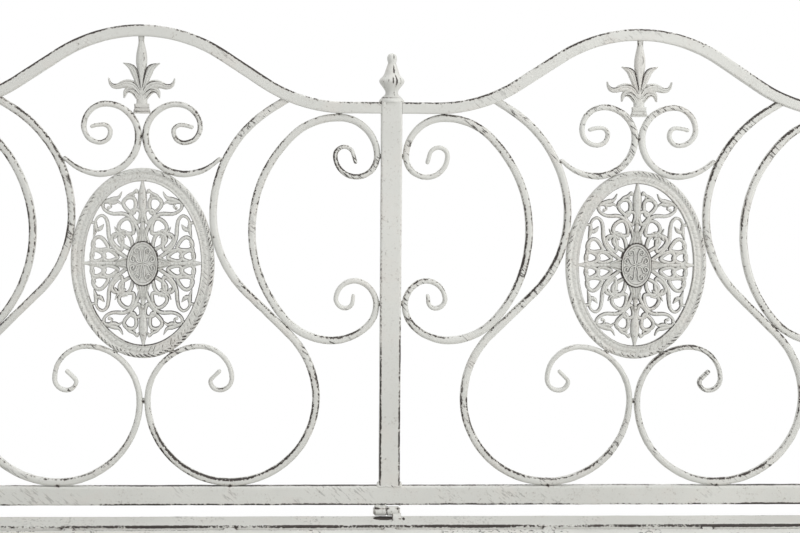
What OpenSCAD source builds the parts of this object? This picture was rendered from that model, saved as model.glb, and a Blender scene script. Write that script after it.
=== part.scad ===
// Two-seat garden bench of painted steel tube and forged scrolls, with a seat that folds up.
// The back, its posts and its scrollwork lie in one leaning plane; the seat hangs on three hinges.

/* [Back] */
// Distance between the posts of the back, centre to centre
bay_pitch = 520; // [470:5:600]
// Lean of the back from upright, in degrees
recline = 12; // [6:1:16]
// Height of the level part of the top rail above the lower rail
shoulder_h = 407; // [400:1:430]
// Rise of each arch above the level part
arch_rise = 78; // [70:1:90]
// Radius of the round bends of the arch, at the middle of the bar
arch_bend_r = 155; // [140:5:170]
// Steepest slope of the arch, in degrees
arch_slope = 33; // [30:1:36]
// Side of the square post tube
post_w = 22; // [20:1:26]
// Wall of the post tube
post_wall = 1.2; // [1:0.1:2.5]
// Height of the top rail bar
top_bar_h = 12; // [10:1:14]
// Height of the lower rail tube
lower_rail_h = 20; // [18:1:25]
// Depth of the top rail and the lower rail, front to back
rail_depth = 12; // [11:1:16]
// Wall of the lower rail tube
rail_wall = 1.2; // [1:0.1:2.5]

/* [Scrollwork] */
// Width of the forged bar of the large scrolls
scroll_bar = 8; // [7:0.5:9]
// Depth of the forged bars, front to back
scroll_depth = 8; // [6:0.5:10]
// Width of the bar of the small scrolls above the medallion
small_bar = 7; // [6:0.5:8]
// Width of the forged bars at the end of a curl
curl_tip = 4; // [3:0.5:5]
// Radius of the large round foot of a lyre scroll
lyre_foot_r = 87; // [80:1:90]
// Radius of the round outer side of a lyre scroll
lyre_side_r = 90.5; // [88:0.5:95]
// Distance from the middle of a bay to the near side of a C scroll
c_near = 114; // [110:1:120]
// Radius of the upper round of a small heart scroll
heart_head_r = 33; // [28:0.5:34]

/* [Medallion] */
// Width of the oval medallion
medal_w = 150; // [144:1:154]
// Height of the oval medallion
medal_h = 200; // [194:1:204]
// Width of the medallion ring
medal_ring = 14; // [10:1:16]
// Thickness of the medallion ring
medal_t = 8; // [6:0.5:10]
// Thickness of the pierced ornament inside the ring
lace_t = 5; // [3:0.5:6]

/* [Ornaments] */
// Half of the width of the foot of the cast lily
lily_foot = 8.4; // [7:0.2:9]
// Thickness of the cast lily
lily_t = 6; // [4:0.5:8]
// Radius of the bulb of the post finials
finial_r = 13.2; // [11:0.2:15]
// Height of the post finials
finial_h = 51; // [44:1:60]

/* [Seat] */
// Height of the seat above the floor
seat_top = 440; // [420:5:460]
// Depth of the seat, front to back
seat_depth = 400; // [380:5:430]
// Side of the square seat tube
seat_tube = 25; // [22:1:28]
// Wall of the seat tube
seat_wall = 1.2; // [1:0.1:2.5]
// Gap between the seat and each side frame
seat_side_gap = 5; // [4:0.5:10]
// Number of slats in the seat
slat_count = 8; // [6:1:8]
// Width of a seat slat
slat_w = 26; // [20:1:32]
// Thickness of a seat slat
slat_t = 2; // [1.5:0.5:5]
// Number of bars that carry the slats
cross_count = 5; // [3:1:7]
// Side of the square bars that carry the slats
cross_bar = 14; // [12:1:16]

/* [Hinges] */
// Outer radius of the hinge barrel
barrel_r = 5; // [4.5:0.1:6]
// Radius of the hinge pin
pin_r = 2.5; // [2:0.1:3]
// Length of each hinge knuckle
knuckle_l = 13; // [10:1:18]
// Place of the middle hinge beside the middle post
middle_hinge_x = -3; // [-12:1:0]
// Distance from each end hinge to the inner side of its post
end_hinge_inset = 40; // [30:5:80]

/* [Side frames] */
// Height of the arms above the seat
arm_up = 200; // [180:5:220]
// Width of the arm bar, side to side
arm_w = 26; // [22:1:30]
// Thickness of the arm bar
arm_t = 8; // [6:1:12]
// Height of the side stretchers above the floor
stretcher_up = 140; // [100:5:200]
// Backward splay of the rear legs, in degrees
leg_splay = 12; // [8:1:15]
// Radius of the bend in the rear legs
leg_bend_r = 120; // [100:5:160]
// Radius of the bolts
bolt_r = 3; // [2.5:0.1:4]
// Thickness of the foot caps under the legs
foot_t = 5; // [3:0.5:8]

/* [Hidden] */
// Gap between pieces that touch on round faces
touch = 0.15;
// Gap between the seat and the rail it rests on
rest_gap = 0.3;
// Running clearance of the hinge pin, on the radius
pin_clear = 0.05;
// Clearance of the bolts in their holes, on the radius
bolt_clear = 0.2;
// Sag of a chord in a computed curve
chord = 0.12;
// Thickness of the plates that carry the bolts
lug_t = 4;
// Gap between the barrel and the underside of the lower rail
weld_gap = 0.7;
// Gap under the barrel, above the seat
barrel_gap = 0.5;
// How far the hinge axis stands in front of the back
axis_front = 1.85;
// Depth of the middle of the scrollwork behind the front of the back
mid_n = -rail_depth / 2;
// Half of the distance between the posts
half_bay = bay_pitch / 2;
// Height of the arch top above the lower rail
arch_top = shoulder_h + arch_rise;

// Height of the hinge axis and of the foot of the back, worked out from the seat
axis_z = seat_top + barrel_gap + barrel_r;
axis_v = -lower_rail_h - weld_gap - barrel_r;

// The Y place of the hinge axis that sets the bench in the middle of its length and depth
arm_z = seat_top + arm_up;
front_leg_y0 = -seat_depth + post_w / 2 + 4;
roll = [42, 32, 22, 13];
roll_start_y0 = front_leg_y0 - post_w / 2 + roll[0] - roll[1] - roll[2] - arm_t / 4 - touch;
front_y0 = roll_start_y0 - roll[0] - arm_t / 2;
base_y0 = -axis_v * sin(recline) + axis_front * cos(recline);
rear_y0 = base_y0 + shoulder_h * sin(recline) + post_w * cos(recline);
axis_y = -(front_y0 + rear_y0) / 2;

// The foot of the back: the front edge of the top of the lower rail
base_y = axis_y + base_y0;
base_z = axis_z - axis_v * cos(recline) - axis_front * sin(recline);

// Places along Y, from the hinge axis
front_leg_y = axis_y + front_leg_y0;
roll_start_y = axis_y + roll_start_y0;
side_x = bay_pitch;
seat_half = side_x - post_w / 2 - seat_side_gap;
cross_pitch = 2 * seat_half / (cross_count + 1);
slat_pitch = (seat_depth - 2 * seat_tube) / slat_count;
front_rail_top = seat_top - seat_tube - rest_gap;

// A path is a list of [x, y, heading, distance]; a move is [radius, turn] or [length, 0]
function travel(p, m, t) =
    m[1] == 0
    ? [p[0] + m[0] * t * cos(p[2]), p[1] + m[0] * t * sin(p[2]), p[2], p[3] + m[0] * t]
    : let (s = sign(m[1]), b = p[2] + m[1] * t)
      [p[0] + m[0] * s * (sin(b) - sin(p[2])),
       p[1] - m[0] * s * (cos(b) - cos(p[2])),
       b,
       p[3] + m[0] * abs(m[1]) * t * PI / 180];

function steps(m) = m[1] == 0 ? 1 : max(2, ceil(abs(m[1]) / (2 * acos(1 - chord / m[0]))));

function trail(p, moves, i = 0) =
    i == len(moves)
    ? [p]
    : let (n = steps(moves[i]))
      concat([for (k = [0 : n - 1]) travel(p, moves[i], k / n)],
             trail(travel(p, moves[i], 1), moves, i + 1));

// A path that runs both ways from a given place
function two_way(p, back, ahead) =
    let (b = trail([p[0], p[1], p[2] + 180, 0], back), a = trail([p[0], p[1], p[2], 0], ahead))
    concat([for (i = [len(b) - 1 : -1 : 1]) [b[i][0], b[i][1], b[i][2] - 180, -b[i][3]]], a);

// A path through points chosen by hand, smoothed between them
function knot(pts, i) = pts[max(0, min(len(pts) - 1, i))];
function spline(pts, n = 5) =
    [for (i = [0 : len(pts) - 2], k = [0 : (i == len(pts) - 2 ? n : n - 1)])
        let (t = k / n, a = knot(pts, i - 1), b = knot(pts, i), c = knot(pts, i + 1), d = knot(pts, i + 2))
        0.5 * (2 * b + (c - a) * t + (2 * a - 5 * b + 4 * c - d) * t * t + (3 * b - a - 3 * c + d) * t * t * t)];

// Outline of a bar along a path, tapered to a tip over the given distances at its ends
function swell(s, low, high, a, b) =
    min(1, a == 0 ? 1 : (s - low) / a, b == 0 ? 1 : (high - s) / b);
function bar_edge(path, w, tip, a, b, side) =
    let (low = path[0][3], high = path[len(path) - 1][3])
    [for (p = path)
        let (h = side * (tip + (w - tip) * swell(p[3], low, high, a, b)) / 2)
        [p[0] - h * sin(p[2]), p[1] + h * cos(p[2])]];
function back_to_front(list) = [for (i = [len(list) - 1 : -1 : 0]) list[i]];
function bar_outline(path, w, tip, a, b) =
    concat(bar_edge(path, w, tip, a, b, 1), back_to_front(bar_edge(path, w, tip, a, b, -1)));

module bar(path, w, depth, tip, a, b) {
    linear_extrude(depth, center = true) polygon(bar_outline(path, w, tip, a, b));
    if (a > 0) curl_end(path[0], tip, depth);
    if (b > 0) curl_end(path[len(path) - 1], tip, depth);
}

// The rounded end of a curl
module curl_end(p, tip, depth) {
    translate([p[0], p[1], 0]) cylinder(h = depth, r = tip / 2, center = true, $fn = 32);
}

// Frame of the back: X along the bench, Y up the back, Z out of its front
module on_back(n = 0) {
    translate([0, base_y, base_z]) rotate([90 - recline, 0, 0]) translate([0, 0, n]) children();
}

// A shape drawn in Y and Z, with a width along X
module across(x, w) {
    translate([x - w / 2, 0, 0]) rotate([90, 0, 90]) linear_extrude(w) children();
}

module tube_x(x, l, y, z, w, h, wall) {
    translate([x, y, z]) difference() {
        cube([l, w, h]);
        translate([-1, wall, wall]) cube([l + 2, w - 2 * wall, h - 2 * wall]);
    }
}

module tube_y(y, l, x, z, w, h, wall) {
    translate([x, y, z]) difference() {
        cube([w, l, h]);
        translate([wall, -1, wall]) cube([w - 2 * wall, l + 2, h - 2 * wall]);
    }
}

// Rear leg and back post: one bent square tube, upright below and leaning above
function post_point(v, n) =
    [base_y + v * sin(recline) - n * cos(recline), base_z + v * cos(recline) + n * sin(recline)];
leg_bend_v = -76;
leg_top = concat(post_point(shoulder_h, -post_w / 2), [-90 - recline, 0]);
leg_bend = travel(leg_top, [shoulder_h - leg_bend_v, 0], 1);
leg_knee = travel(leg_bend, [leg_bend_r, recline + leg_splay], 1);
leg_run = (leg_knee[1] + post_w) / cos(leg_splay);
leg_path = trail(leg_top, [[shoulder_h - leg_bend_v, 0], [leg_bend_r, recline + leg_splay], [leg_run, 0]]);

// Places on the rear leg: Y of a plane a distance n in front of it, at height z
function upper_y(z, n) = base_y + (z - base_z) * tan(recline) - n / cos(recline);
function lower_y(z, n) = leg_knee[0] + (leg_knee[1] - z) * tan(leg_splay) - (post_w / 2 + n) / cos(leg_splay);

// Heights on the side frame
side_rail_z = seat_top - post_w;
stretcher_z = stretcher_up - post_w / 2;
arm_low = arm_z - arm_t;

// Bolts of one side frame: [height on the leg, on the leaning part or not]
lug_h = 62;
bolt_apart = 21;
lug_spots = [[arm_z - arm_t / 2, true], [side_rail_z + post_w / 2, true], [stretcher_up, false]];

// A place on the front of the rear leg, with Z out of its front
module on_leg(spot) {
    y = spot[1] ? upper_y(spot[0], 0) : lower_y(spot[0], 0);
    translate([0, y, spot[0]]) rotate([90 - (spot[1] ? recline : -leg_splay), 0, 0]) children();
}

module each_bolt(side) {
    for (spot = lug_spots, k = [-1, 1])
        translate([side * side_x, 0, 0]) on_leg(spot) translate([0, k * bolt_apart, 0]) children();
}

module leg_holes(side) {
    each_bolt(side)
        translate([0, 0, -post_w - 1]) cylinder(h = post_w + 2, r = bolt_r + bolt_clear, $fn = 48);
}

module rear_leg(side) {
    difference() {
        across(side * side_x, post_w) polygon(bar_outline(leg_path, post_w, post_w, 0, 0));
        across(side * side_x, post_w - 2 * post_wall)
            polygon(bar_outline(leg_path, post_w - 2 * post_wall, post_w - 2 * post_wall, 0, 0));
        translate([side * side_x - post_w, axis_y, -2 * post_w])
            cube([2 * post_w, 400, 2 * post_w + foot_t]);
        leg_holes(side);
    }
}

module rear_leg_left() { color("ivory") rear_leg(-1); }
module rear_leg_right() { color("ivory") rear_leg(1); }

module centre_post() {
    color("ivory") on_back(-post_w) difference() {
        translate([-post_w / 2, 0, 0]) cube([post_w, shoulder_h, post_w]);
        translate([-post_w / 2 + post_wall, -1, post_wall])
            cube([post_w - 2 * post_wall, shoulder_h + 2, post_w - 2 * post_wall]);
    }
}

module lower_rail() {
    inner = side_x - post_w / 2;
    color("ivory") on_back() tube_x(-inner, 2 * inner, -lower_rail_h, -rail_depth,
        lower_rail_h, rail_depth, rail_wall);
}

// Top rail of one bay: level ends, an arch between them, built from one end to the other
arch_drop = 2 * arch_bend_r * (1 - cos(arch_slope));
arch_straight = (arch_rise - arch_drop) / sin(arch_slope);
arch_half = 2 * arch_bend_r * sin(arch_slope) + arch_straight * cos(arch_slope);
arch_level = half_bay - post_w / 2 - arch_half;
arch_side = [[arch_bend_r, arch_slope], [arch_straight, 0], [arch_bend_r, -arch_slope]];
arch_moves = concat([[arch_level, 0]], arch_side,
    [[arch_bend_r, -arch_slope], [arch_straight, 0], [arch_bend_r, arch_slope], [arch_level, 0]]);
arch_path = trail([-half_bay + post_w / 2, shoulder_h - top_bar_h / 2, 0, 0], arch_moves);

module top_rail(side) {
    on_back(mid_n) translate([side * half_bay, 0, 0])
        bar(arch_path, top_bar_h, rail_depth, top_bar_h, 0, 0);
}

module top_rail_left() { color("ivory") top_rail(-1); }
module top_rail_right() { color("ivory") top_rail(1); }

// Places a bay's right half, or its mirror image, on the back; quarter 1 to 4 runs left to right
module quarter(k) {
    on_back(mid_n) translate([(k < 3 ? -1 : 1) * half_bay, 0, 0])
        mirror([k % 2 == 1 ? 1 : 0, 0, 0]) children();
}

// A path stretched across and up, and set down at a place
function fitted(path, x, y, wide, tall) =
    [for (p = path) [x + wide * p[0], y + tall * p[1], atan2(tall * sin(p[2]), wide * cos(p[2])), p[3]]];
function shrunk(moves, k) = [for (m = moves) [m[0] * k, m[1]]];

// Distances between paths, and a search for the place where a piece just clears its neighbour
function flat(path) = [for (p = path) [p[0], p[1]]];
function segment_gap(p, a, b) =
    let (d = b - a, t = max(0, min(1, ((p - a) * d) / (d * d)))) norm(p - a - t * d);
function path_gap(points, line) =
    min([for (p = points, i = [1 : len(line) - 1]) segment_gap(p, line[i - 1], line[i])]);
function ring_arc(up, a0, a1) =
    [for (a = [a0 : 4 : a1]) [medal_w / 2 * cos(a), up + medal_h / 2 * sin(a)]];

// Lyre scroll: a round foot on the lower rail, a long stem up to the arch, a curl inside the foot.
// The shape is drawn for a shoulder 407 mm high, then stretched to the height of the top rail.
lyre_tall = shoulder_h / 407;
lyre_mid = lyre_foot_r + scroll_bar / 2 + touch;
lyre_base = scroll_bar / 2 + touch;
function on_rail(path) = fitted(path, 0, lyre_base, 1, lyre_tall);
lyre_curl = [[lyre_foot_r, -90], [60, -50], [52, -40], [34, -90], [12.5, -90], [10.5, -70], [5, -65], [11, 0]];
lyre_crown = on_rail(trail([lyre_base, lyre_foot_r, 90, 0], [[60, -50], [52, -40], [34, -60]]));
lyre_lean = 45.6;
lyre_neck = [130, -58];
function lyre_stem(run) = [[lyre_side_r, 90], [95, lyre_lean], [run, 0], [116, -lyre_lean], lyre_neck];
function lyre_rise(run) = on_rail(trail([lyre_mid, 0, 0, 0], lyre_stem(run)));

// The medallion sits on the two crowns, and the stems run past its sides
function medal_seat(low, high, n = 16) =
    n == 0 ? high
    : let (m = (low + high) / 2)
      path_gap(flat(lyre_crown), ring_arc(m, -88, 0)) > scroll_bar / 2 + touch
      ? medal_seat(low, m, n - 1) : medal_seat(m, high, n - 1);
medal_up = medal_seat(lyre_foot_r + medal_h / 4, lyre_foot_r + medal_h * 1.2);

function stem_seat(near, clear, n = 14) =
    n == 0 ? clear
    : let (m = (near + clear) / 2)
      path_gap(ring_arc(medal_up, -40, 60), flat(lyre_rise(m))) > scroll_bar / 2 + touch
      ? stem_seat(near, m, n - 1) : stem_seat(m, clear, n - 1);
lyre_run = stem_seat(90, 30);
lyre_side = lyre_rise(lyre_run);

// The neck runs on until it is well inside the arch, and is cut off flush under it
lyre_tip = lyre_side[len(lyre_side) - 1];
lyre_last = max(4, (shoulder_h + 2 - lyre_tip[1]) / lyre_tall / sin(90 + lyre_neck[1]));
lyre_path = on_rail(two_way([lyre_mid, 0, 0], lyre_curl, concat(lyre_stem(lyre_run), [[lyre_last, 0]])));
above_arch = concat(bar_edge(arch_path, top_bar_h + 2 * touch, top_bar_h, 0, 0, -1),
    [[half_bay, 2 * arch_top], [-half_bay, 2 * arch_top]]);

module lyre_scroll(k) {
    quarter(k) difference() {
        bar(lyre_path, scroll_bar, scroll_depth, curl_tip, 330, 0);
        linear_extrude(2 * scroll_depth, center = true) polygon(above_arch);
    }
}

module lyre_scroll_1() { color("ivory") lyre_scroll(1); }
module lyre_scroll_2() { color("ivory") lyre_scroll(2); }
module lyre_scroll_3() { color("ivory") lyre_scroll(3); }
module lyre_scroll_4() { color("ivory") lyre_scroll(4); }

// C scroll: its back towards the medallion, a curl above and a curl below against the post.
// The shape is drawn from its place on the post and the rail, then fitted to the bay.
c_turn = [[22, -180], [9.5, -165], [9, 0]];
c_sweep = [[70, 45], [141.5, 86.4], [66, 48.6], [52.8, 45], [31.7, 45]];
c_hook = [[27, 60], [19, 50], [20.5, 60], [10.5, 100], [7.5, 85], [6, 0]];
c_head = 40.5;
c_drawn = two_way([-c_head, 0, 180], concat([[c_head, -90]], c_turn), concat(c_sweep, c_hook));
c_side = half_bay - post_w / 2 - scroll_bar / 2 - touch;
c_ceiling = shoulder_h - top_bar_h - scroll_bar / 2 - touch;
c_wide = (c_side - c_near) / -min([for (p = c_drawn) p[0]]);
function at_post(path, tall) = fitted(path, c_side, c_ceiling, c_wide, tall);
c_flank = trail([-c_head, 0, 180, 0], c_sweep);
lyre_flank = [for (p = lyre_side) if (p[1] < medal_up) p];
function c_seat(near, clear, n = 14) =
    n == 0 ? clear
    : let (m = (near + clear) / 2)
      path_gap(flat(at_post(c_flank, m)), flat(lyre_flank)) > scroll_bar + 2 * touch
      ? c_seat(near, m, n - 1) : c_seat(m, clear, n - 1);
c_tall = c_seat(1.3, 0.7);
c_path = at_post(c_drawn, c_tall);

module c_scroll(k) {
    quarter(k) bar(c_path, scroll_bar, scroll_depth, curl_tip, 170, 170);
}

module c_scroll_1() { color("ivory") c_scroll(1); }
module c_scroll_2() { color("ivory") c_scroll(2); }
module c_scroll_3() { color("ivory") c_scroll(3); }
module c_scroll_4() { color("ivory") c_scroll(4); }

// Small heart scroll: it stands on the medallion, beside its twin, and hooks onto the lyre stem
heart_x = small_bar / 2 + touch;
heart_round = [[heart_head_r, -90], [23.5, -90], [16.5, -90], [11, -90], [7.5, -90], [30, -22]];
heart_foot = [[39.5, 90], [50, 44]];
heart_hook_r = 16;
function heart_seat(k, low, high, n = 16) =
    n == 0 ? high
    : let (m = (low + high) / 2, sole = trail([heart_x, m, -90, 0], [shrunk(heart_foot, k)[0]]))
      path_gap(flat(sole), ring_arc(medal_up, 0, 90)) > small_bar / 2 + touch
      ? heart_seat(k, low, m, n - 1) : heart_seat(k, m, high, n - 1);
function heart_place(k) = heart_seat(k, medal_up + medal_h / 2, medal_up + medal_h);

// The heart is as large as the space between the two lyre stems lets it be
lyre_shoulder = [for (p = lyre_side) if (p[1] > medal_up + medal_h / 4) p];
function heart_room(k) =
    let (up = heart_place(k),
         sole = trail([heart_x, up, -90, 0], shrunk(heart_foot, k)),
         head = trail([heart_x, up, 90, 0], shrunk([heart_round[0], heart_round[1]], k)))
    min(path_gap(flat(sole), flat(lyre_shoulder)) + (small_bar - curl_tip) / 2, path_gap(flat(head), flat(lyre_shoulder)));
function heart_size(k) = k < 0.4 || heart_room(k) > (scroll_bar + small_bar) / 2 + touch ? k : heart_size(k - 0.04);
heart_k = heart_size(1);
heart_up = heart_place(heart_k);
heart_curl = shrunk(heart_round, heart_k);
heart_sole = shrunk(heart_foot, heart_k);
heart_stand = trail([heart_x, heart_up, -90, 0], heart_sole);
function hook_seat(near, clear, n = 14) =
    n == 0 ? clear
    : let (m = (near + clear) / 2, tip = travel(heart_stand[len(heart_stand) - 1], [heart_hook_r, -m], 1))
      path_gap([[tip[0], tip[1]]], flat(lyre_shoulder)) > (scroll_bar + curl_tip) / 2 + touch
      ? hook_seat(near, m, n - 1) : hook_seat(m, clear, n - 1);
heart_path = two_way([heart_x, heart_up, 90], concat(heart_sole, [[heart_hook_r, -hook_seat(80, 1)]]), heart_curl);

module heart_scroll(k) {
    quarter(k) bar(heart_path, small_bar, scroll_depth, curl_tip, 40, 150);
}

module heart_scroll_1() { color("ivory") heart_scroll(1); }
module heart_scroll_2() { color("ivory") heart_scroll(2); }
module heart_scroll_3() { color("ivory") heart_scroll(3); }
module heart_scroll_4() { color("ivory") heart_scroll(4); }

// Pierced oval medallion
function oval(a, b, n = 60) = [for (i = [0 : n - 1]) [a * cos(360 * i / n), b * sin(360 * i / n)]];

module ribbon(pts, w, tip) {
    run = spline(pts, 2);
    last = len(run) - 1;
    path = [for (i = [0 : last])
        let (d = run[min(last, i + 1)] - run[max(0, i - 1)])
        [run[i][0], run[i][1], atan2(d[1], d[0]), i / last]];
    polygon(bar_outline(path, w, tip, 0.25, 0.6));
}

module eyelet(x, y, outer, inner) {
    translate([x, y]) difference() {
        circle(outer, $fn = 12);
        circle(inner, $fn = 10);
    }
}

// One quarter of the ornament, for an opening 122 wide and 172 high
module lace_quarter() {
    eyelet(12.2, 59.5, 7, 3.6);
    eyelet(6.4, 49, 5.6, 3);
    eyelet(15.2, 38.5, 8, 5);
    eyelet(11.5, 27.5, 6.2, 3.6);
    eyelet(26, 22, 7, 4.2);
    eyelet(18.6, 15, 7, 4.3);
    eyelet(43, 18.6, 7.8, 4.9);
    eyelet(46, 6.6, 6.8, 3.9);
    eyelet(35, 6.8, 6.6, 3.7);
    // Branch to the upper curl, with its leaf tips
    ribbon([[2, 22], [5, 34], [12, 46], [20, 52], [30, 52.5], [37.5, 58.5], [34, 66.5], [26, 69], [19, 76]], 3.6, 1.6);
    ribbon([[37, 60], [43, 61], [48, 64]], 2.8, 2.4);
    // Branch to the side hook
    ribbon([[15, 4], [27, 13.5], [33.5, 26], [32.5, 40], [35.5, 49.5], [41.5, 51.5], [46.5, 47], [50, 30]], 3.6, 1.4);
    ribbon([[47, 45], [52, 44.5], [56, 45]], 2.8, 2);
    // Leaf tips between the branches
    ribbon([[19, 26], [23, 31], [25.5, 38]], 3.4, 1.2);
    ribbon([[26, 28], [24, 31], [18, 33]], 3, 1.4);
    ribbon([[12.5, 66], [9, 70.5], [4, 72]], 2.8, 1.8);
    ribbon([[49, 21], [51.5, 13], [51, 9]], 2.4, 1.6);
}

module half_spear_up() {
    polygon([[0, 20], [4.4, 20], [4.4, 22], [2.8, 36], [2.8, 50], [4, 66], [1.6, 79], [1.1, 88], [0, 88]]);
}

module half_spear_out() {
    polygon([[14, 0], [14, 3.4], [16, 3.4], [28, 2.1], [42, 2.4], [53, 3.6], [58, 1.4], [63, 1.2], [63, 0]]);
}

boss_w = 17;
boss_h = 24;
lace_w = 122;
lace_h = 172;

module lace_outline() {
    offset(delta = 0.01) {
        scale([(medal_w - 2 * medal_ring) / lace_w, (medal_h - 2 * medal_ring) / lace_h])
            for (a = [0, 1], b = [0, 1]) mirror([a, 0]) mirror([0, b]) {
                lace_quarter();
                half_spear_up();
                half_spear_out();
            }
        polygon(oval(boss_w, boss_h, 36));
    }
}

module medallion(side) {
    on_back(mid_n) translate([side * half_bay, medal_up, 0]) {
        linear_extrude(lace_t, center = true) lace_outline();
        linear_extrude(medal_t, center = true) difference() {
            polygon(oval(medal_w / 2, medal_h / 2));
            polygon(oval(medal_w / 2 - medal_ring, medal_h / 2 - medal_ring));
        }
        // Boss in the middle, with a raised rim
        linear_extrude(medal_t, center = true) polygon(oval(boss_w - 1, boss_h - 1, 36));
        translate([0, 0, medal_t / 2 - 1]) linear_extrude(2.5) difference() {
            polygon(oval(boss_w - 2, boss_h - 2, 36));
            polygon(oval(boss_w - 4, boss_h - 4, 36));
        }
    }
}

module medallion_left() { color("whitesmoke") medallion(-1); }
module medallion_right() { color("whitesmoke") medallion(1); }

// Cast lily: a spear with two pairs of leaves on a collar
module lily_half() {
    polygon(concat([[0, 0]], [[8.6, 0], [9.2, 3.2], [8.2, 7], [6.4, 8.6]],
        spline([[5.4, 9.4], [5.4, 13], [8.2, 17.2], [12, 18.6], [15.4, 17.4], [18.2, 14.6]]),
        spline([[19.6, 17], [20.6, 22.4], [26.5, 23.6], [31.4, 26], [34, 33.6]]),
        spline([[31.4, 29.4], [27, 29], [20, 32.4], [13, 32.8], [8.2, 30.6]]),
        spline([[7.4, 33], [10.1, 38.2], [14.8, 44.7], [18.8, 48.8]]),
        spline([[14.6, 49], [9.4, 47.8], [5.8, 46]]),
        spline([[5.9, 50], [5.6, 56], [4.4, 64], [2.7, 70], [2.9, 75]]), [[0, 75]]));
}

// It stands between the heads of the two heart scrolls and reaches the arch
lily_perch_r = heart_head_r * heart_k;
lily_low = heart_up + sqrt(pow(lily_perch_r + small_bar / 2 + touch, 2) - pow(heart_x + lily_perch_r - lily_foot, 2));
lily_h = arch_top - top_bar_h - touch - lily_low;

module lily(side) {
    on_back(mid_n) translate([side * half_bay, lily_low, -lily_t / 2])
        linear_extrude(lily_t) scale([lily_foot / 8.4, lily_h / 75]) offset(delta = 0.01) {
            lily_half();
            mirror([1, 0]) lily_half();
        }
}

module lily_left() { color("whitesmoke") lily(-1); }
module lily_right() { color("whitesmoke") lily(1); }

// Turned finial on each post
module finial(side) {
    s = finial_h / 50;
    r = finial_r / 13.2;
    on_back(-post_w / 2) translate([side * side_x, shoulder_h, 0]) rotate([-90, 0, 0])
        rotate_extrude($fn = 96) polygon(concat([[0, 0], [13.1 * r, 0]],
            spline([[12.8 * r, 0.9 * s], [10.8 * r, 2.8 * s], [7.8 * r, 6.2 * s], [6.5 * r, 9.7 * s],
                [8 * r, 13.9 * s], [10.5 * r, 17.3 * s], [12.9 * r, 20.2 * s], [13.2 * r, 21.9 * s],
                [11.6 * r, 24.3 * s], [8.9 * r, 27.1 * s], [7.4 * r, 30.6 * s], [5.7 * r, 35.3 * s], [4.2 * r, 39.4 * s]]),
            [for (a = [-60 : 15 : 90]) [5.2 * r * cos(a), (44.8 + 5.2 * sin(a)) * s]], [[0, 50 * s]]));
}

module finial_left() { color("ivory") finial(-1); }
module finial_centre() { color("ivory") finial(0); }
module finial_right() { color("ivory") finial(1); }

// Hinges: a knuckle welded under the back, a knuckle on the seat, a pin through both
hinge_x = [-side_x + post_w / 2 + end_hinge_inset, middle_hinge_x, side_x - post_w / 2 - end_hinge_inset];
knuckle_gap = 0.3;

module each_hinge() {
    for (x = hinge_x) translate([x, axis_y, axis_z]) children();
}

module knuckle_bore() {
    translate([-2 * knuckle_l, 0, 0]) rotate([0, 90, 0])
        cylinder(h = 4 * knuckle_l, r = pin_r + pin_clear, $fn = 64);
}

module back_hinge_knuckles() {
    color("ivory") each_hinge() difference() {
        union() {
            translate([-knuckle_l, 0, 0]) rotate([0, 90, 0])
                cylinder(h = knuckle_l - knuckle_gap / 2, r = barrel_r, $fn = 64);
            // Weld between the barrel and the rail
            rotate([90 - recline, 0, 0]) translate([-knuckle_l + 0.5, pin_r + 1, -axis_front - 6])
                cube([knuckle_l - 1 - knuckle_gap / 2, barrel_r + weld_gap - pin_r - 1, 7]);
        }
        knuckle_bore();
    }
}

module seat_hinge_knuckles() {
    drop = barrel_r + barrel_gap;
    color("ivory") each_hinge() difference() {
        union() {
            translate([knuckle_gap / 2, 0, 0]) rotate([0, 90, 0])
                cylinder(h = knuckle_l - knuckle_gap / 2, r = barrel_r, $fn = 64);
            // Leaf that runs down from the barrel onto the top of the rail
            across(knuckle_l / 2 + 1, knuckle_l - 3) polygon([[-pin_r - 1.5, barrel_r / 2], [-pin_r - 1, -drop],
                [-barrel_r - 9, -drop], [-barrel_r - 9, -drop + 1.6], [-barrel_r - 3, -drop + 2.4],
                [-barrel_r - 0.4, -0.6]]);
        }
        knuckle_bore();
    }
}

module hinge_pins() {
    head = 1.2;
    color("lightgray") each_hinge() {
        translate([-knuckle_l - head, 0, 0]) rotate([0, 90, 0])
            cylinder(h = 2 * knuckle_l + 2 * head, r = pin_r, $fn = 64);
        for (x = [-knuckle_l - head - 0.1, knuckle_l + 0.1])
            translate([x, 0, 0]) rotate([0, 90, 0]) cylinder(h = head, r = pin_r + 1, $fn = 48);
    }
}

// Side frames
module front_leg(side) {
    difference() {
        translate([side * side_x - post_w / 2, front_leg_y - post_w / 2, foot_t])
            cube([post_w, post_w, arm_low - foot_t]);
        translate([side * side_x - post_w / 2 + post_wall, front_leg_y - post_w / 2 + post_wall, 0])
            cube([post_w - 2 * post_wall, post_w - 2 * post_wall, arm_z]);
        translate([side * side_x, front_leg_y, front_rail_top - post_w / 2]) rotate([0, 90, 0])
            cylinder(h = 2 * post_w, r = bolt_r + bolt_clear, center = true, $fn = 48);
    }
}

module front_leg_left() { color("ivory") front_leg(-1); }
module front_leg_right() { color("ivory") front_leg(1); }

// Arm: a flat bar that rolls into a volute over the front leg
arm_back = upper_y(arm_z - arm_t / 2, lug_t);
arm_path = trail([arm_back, arm_z - arm_t / 2, 180, 0],
    [[arm_back - roll_start_y, 0], [roll[0], 90], [roll[1], 90], [roll[2], 90], [roll[3], 150], [8, 0]]);

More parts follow.
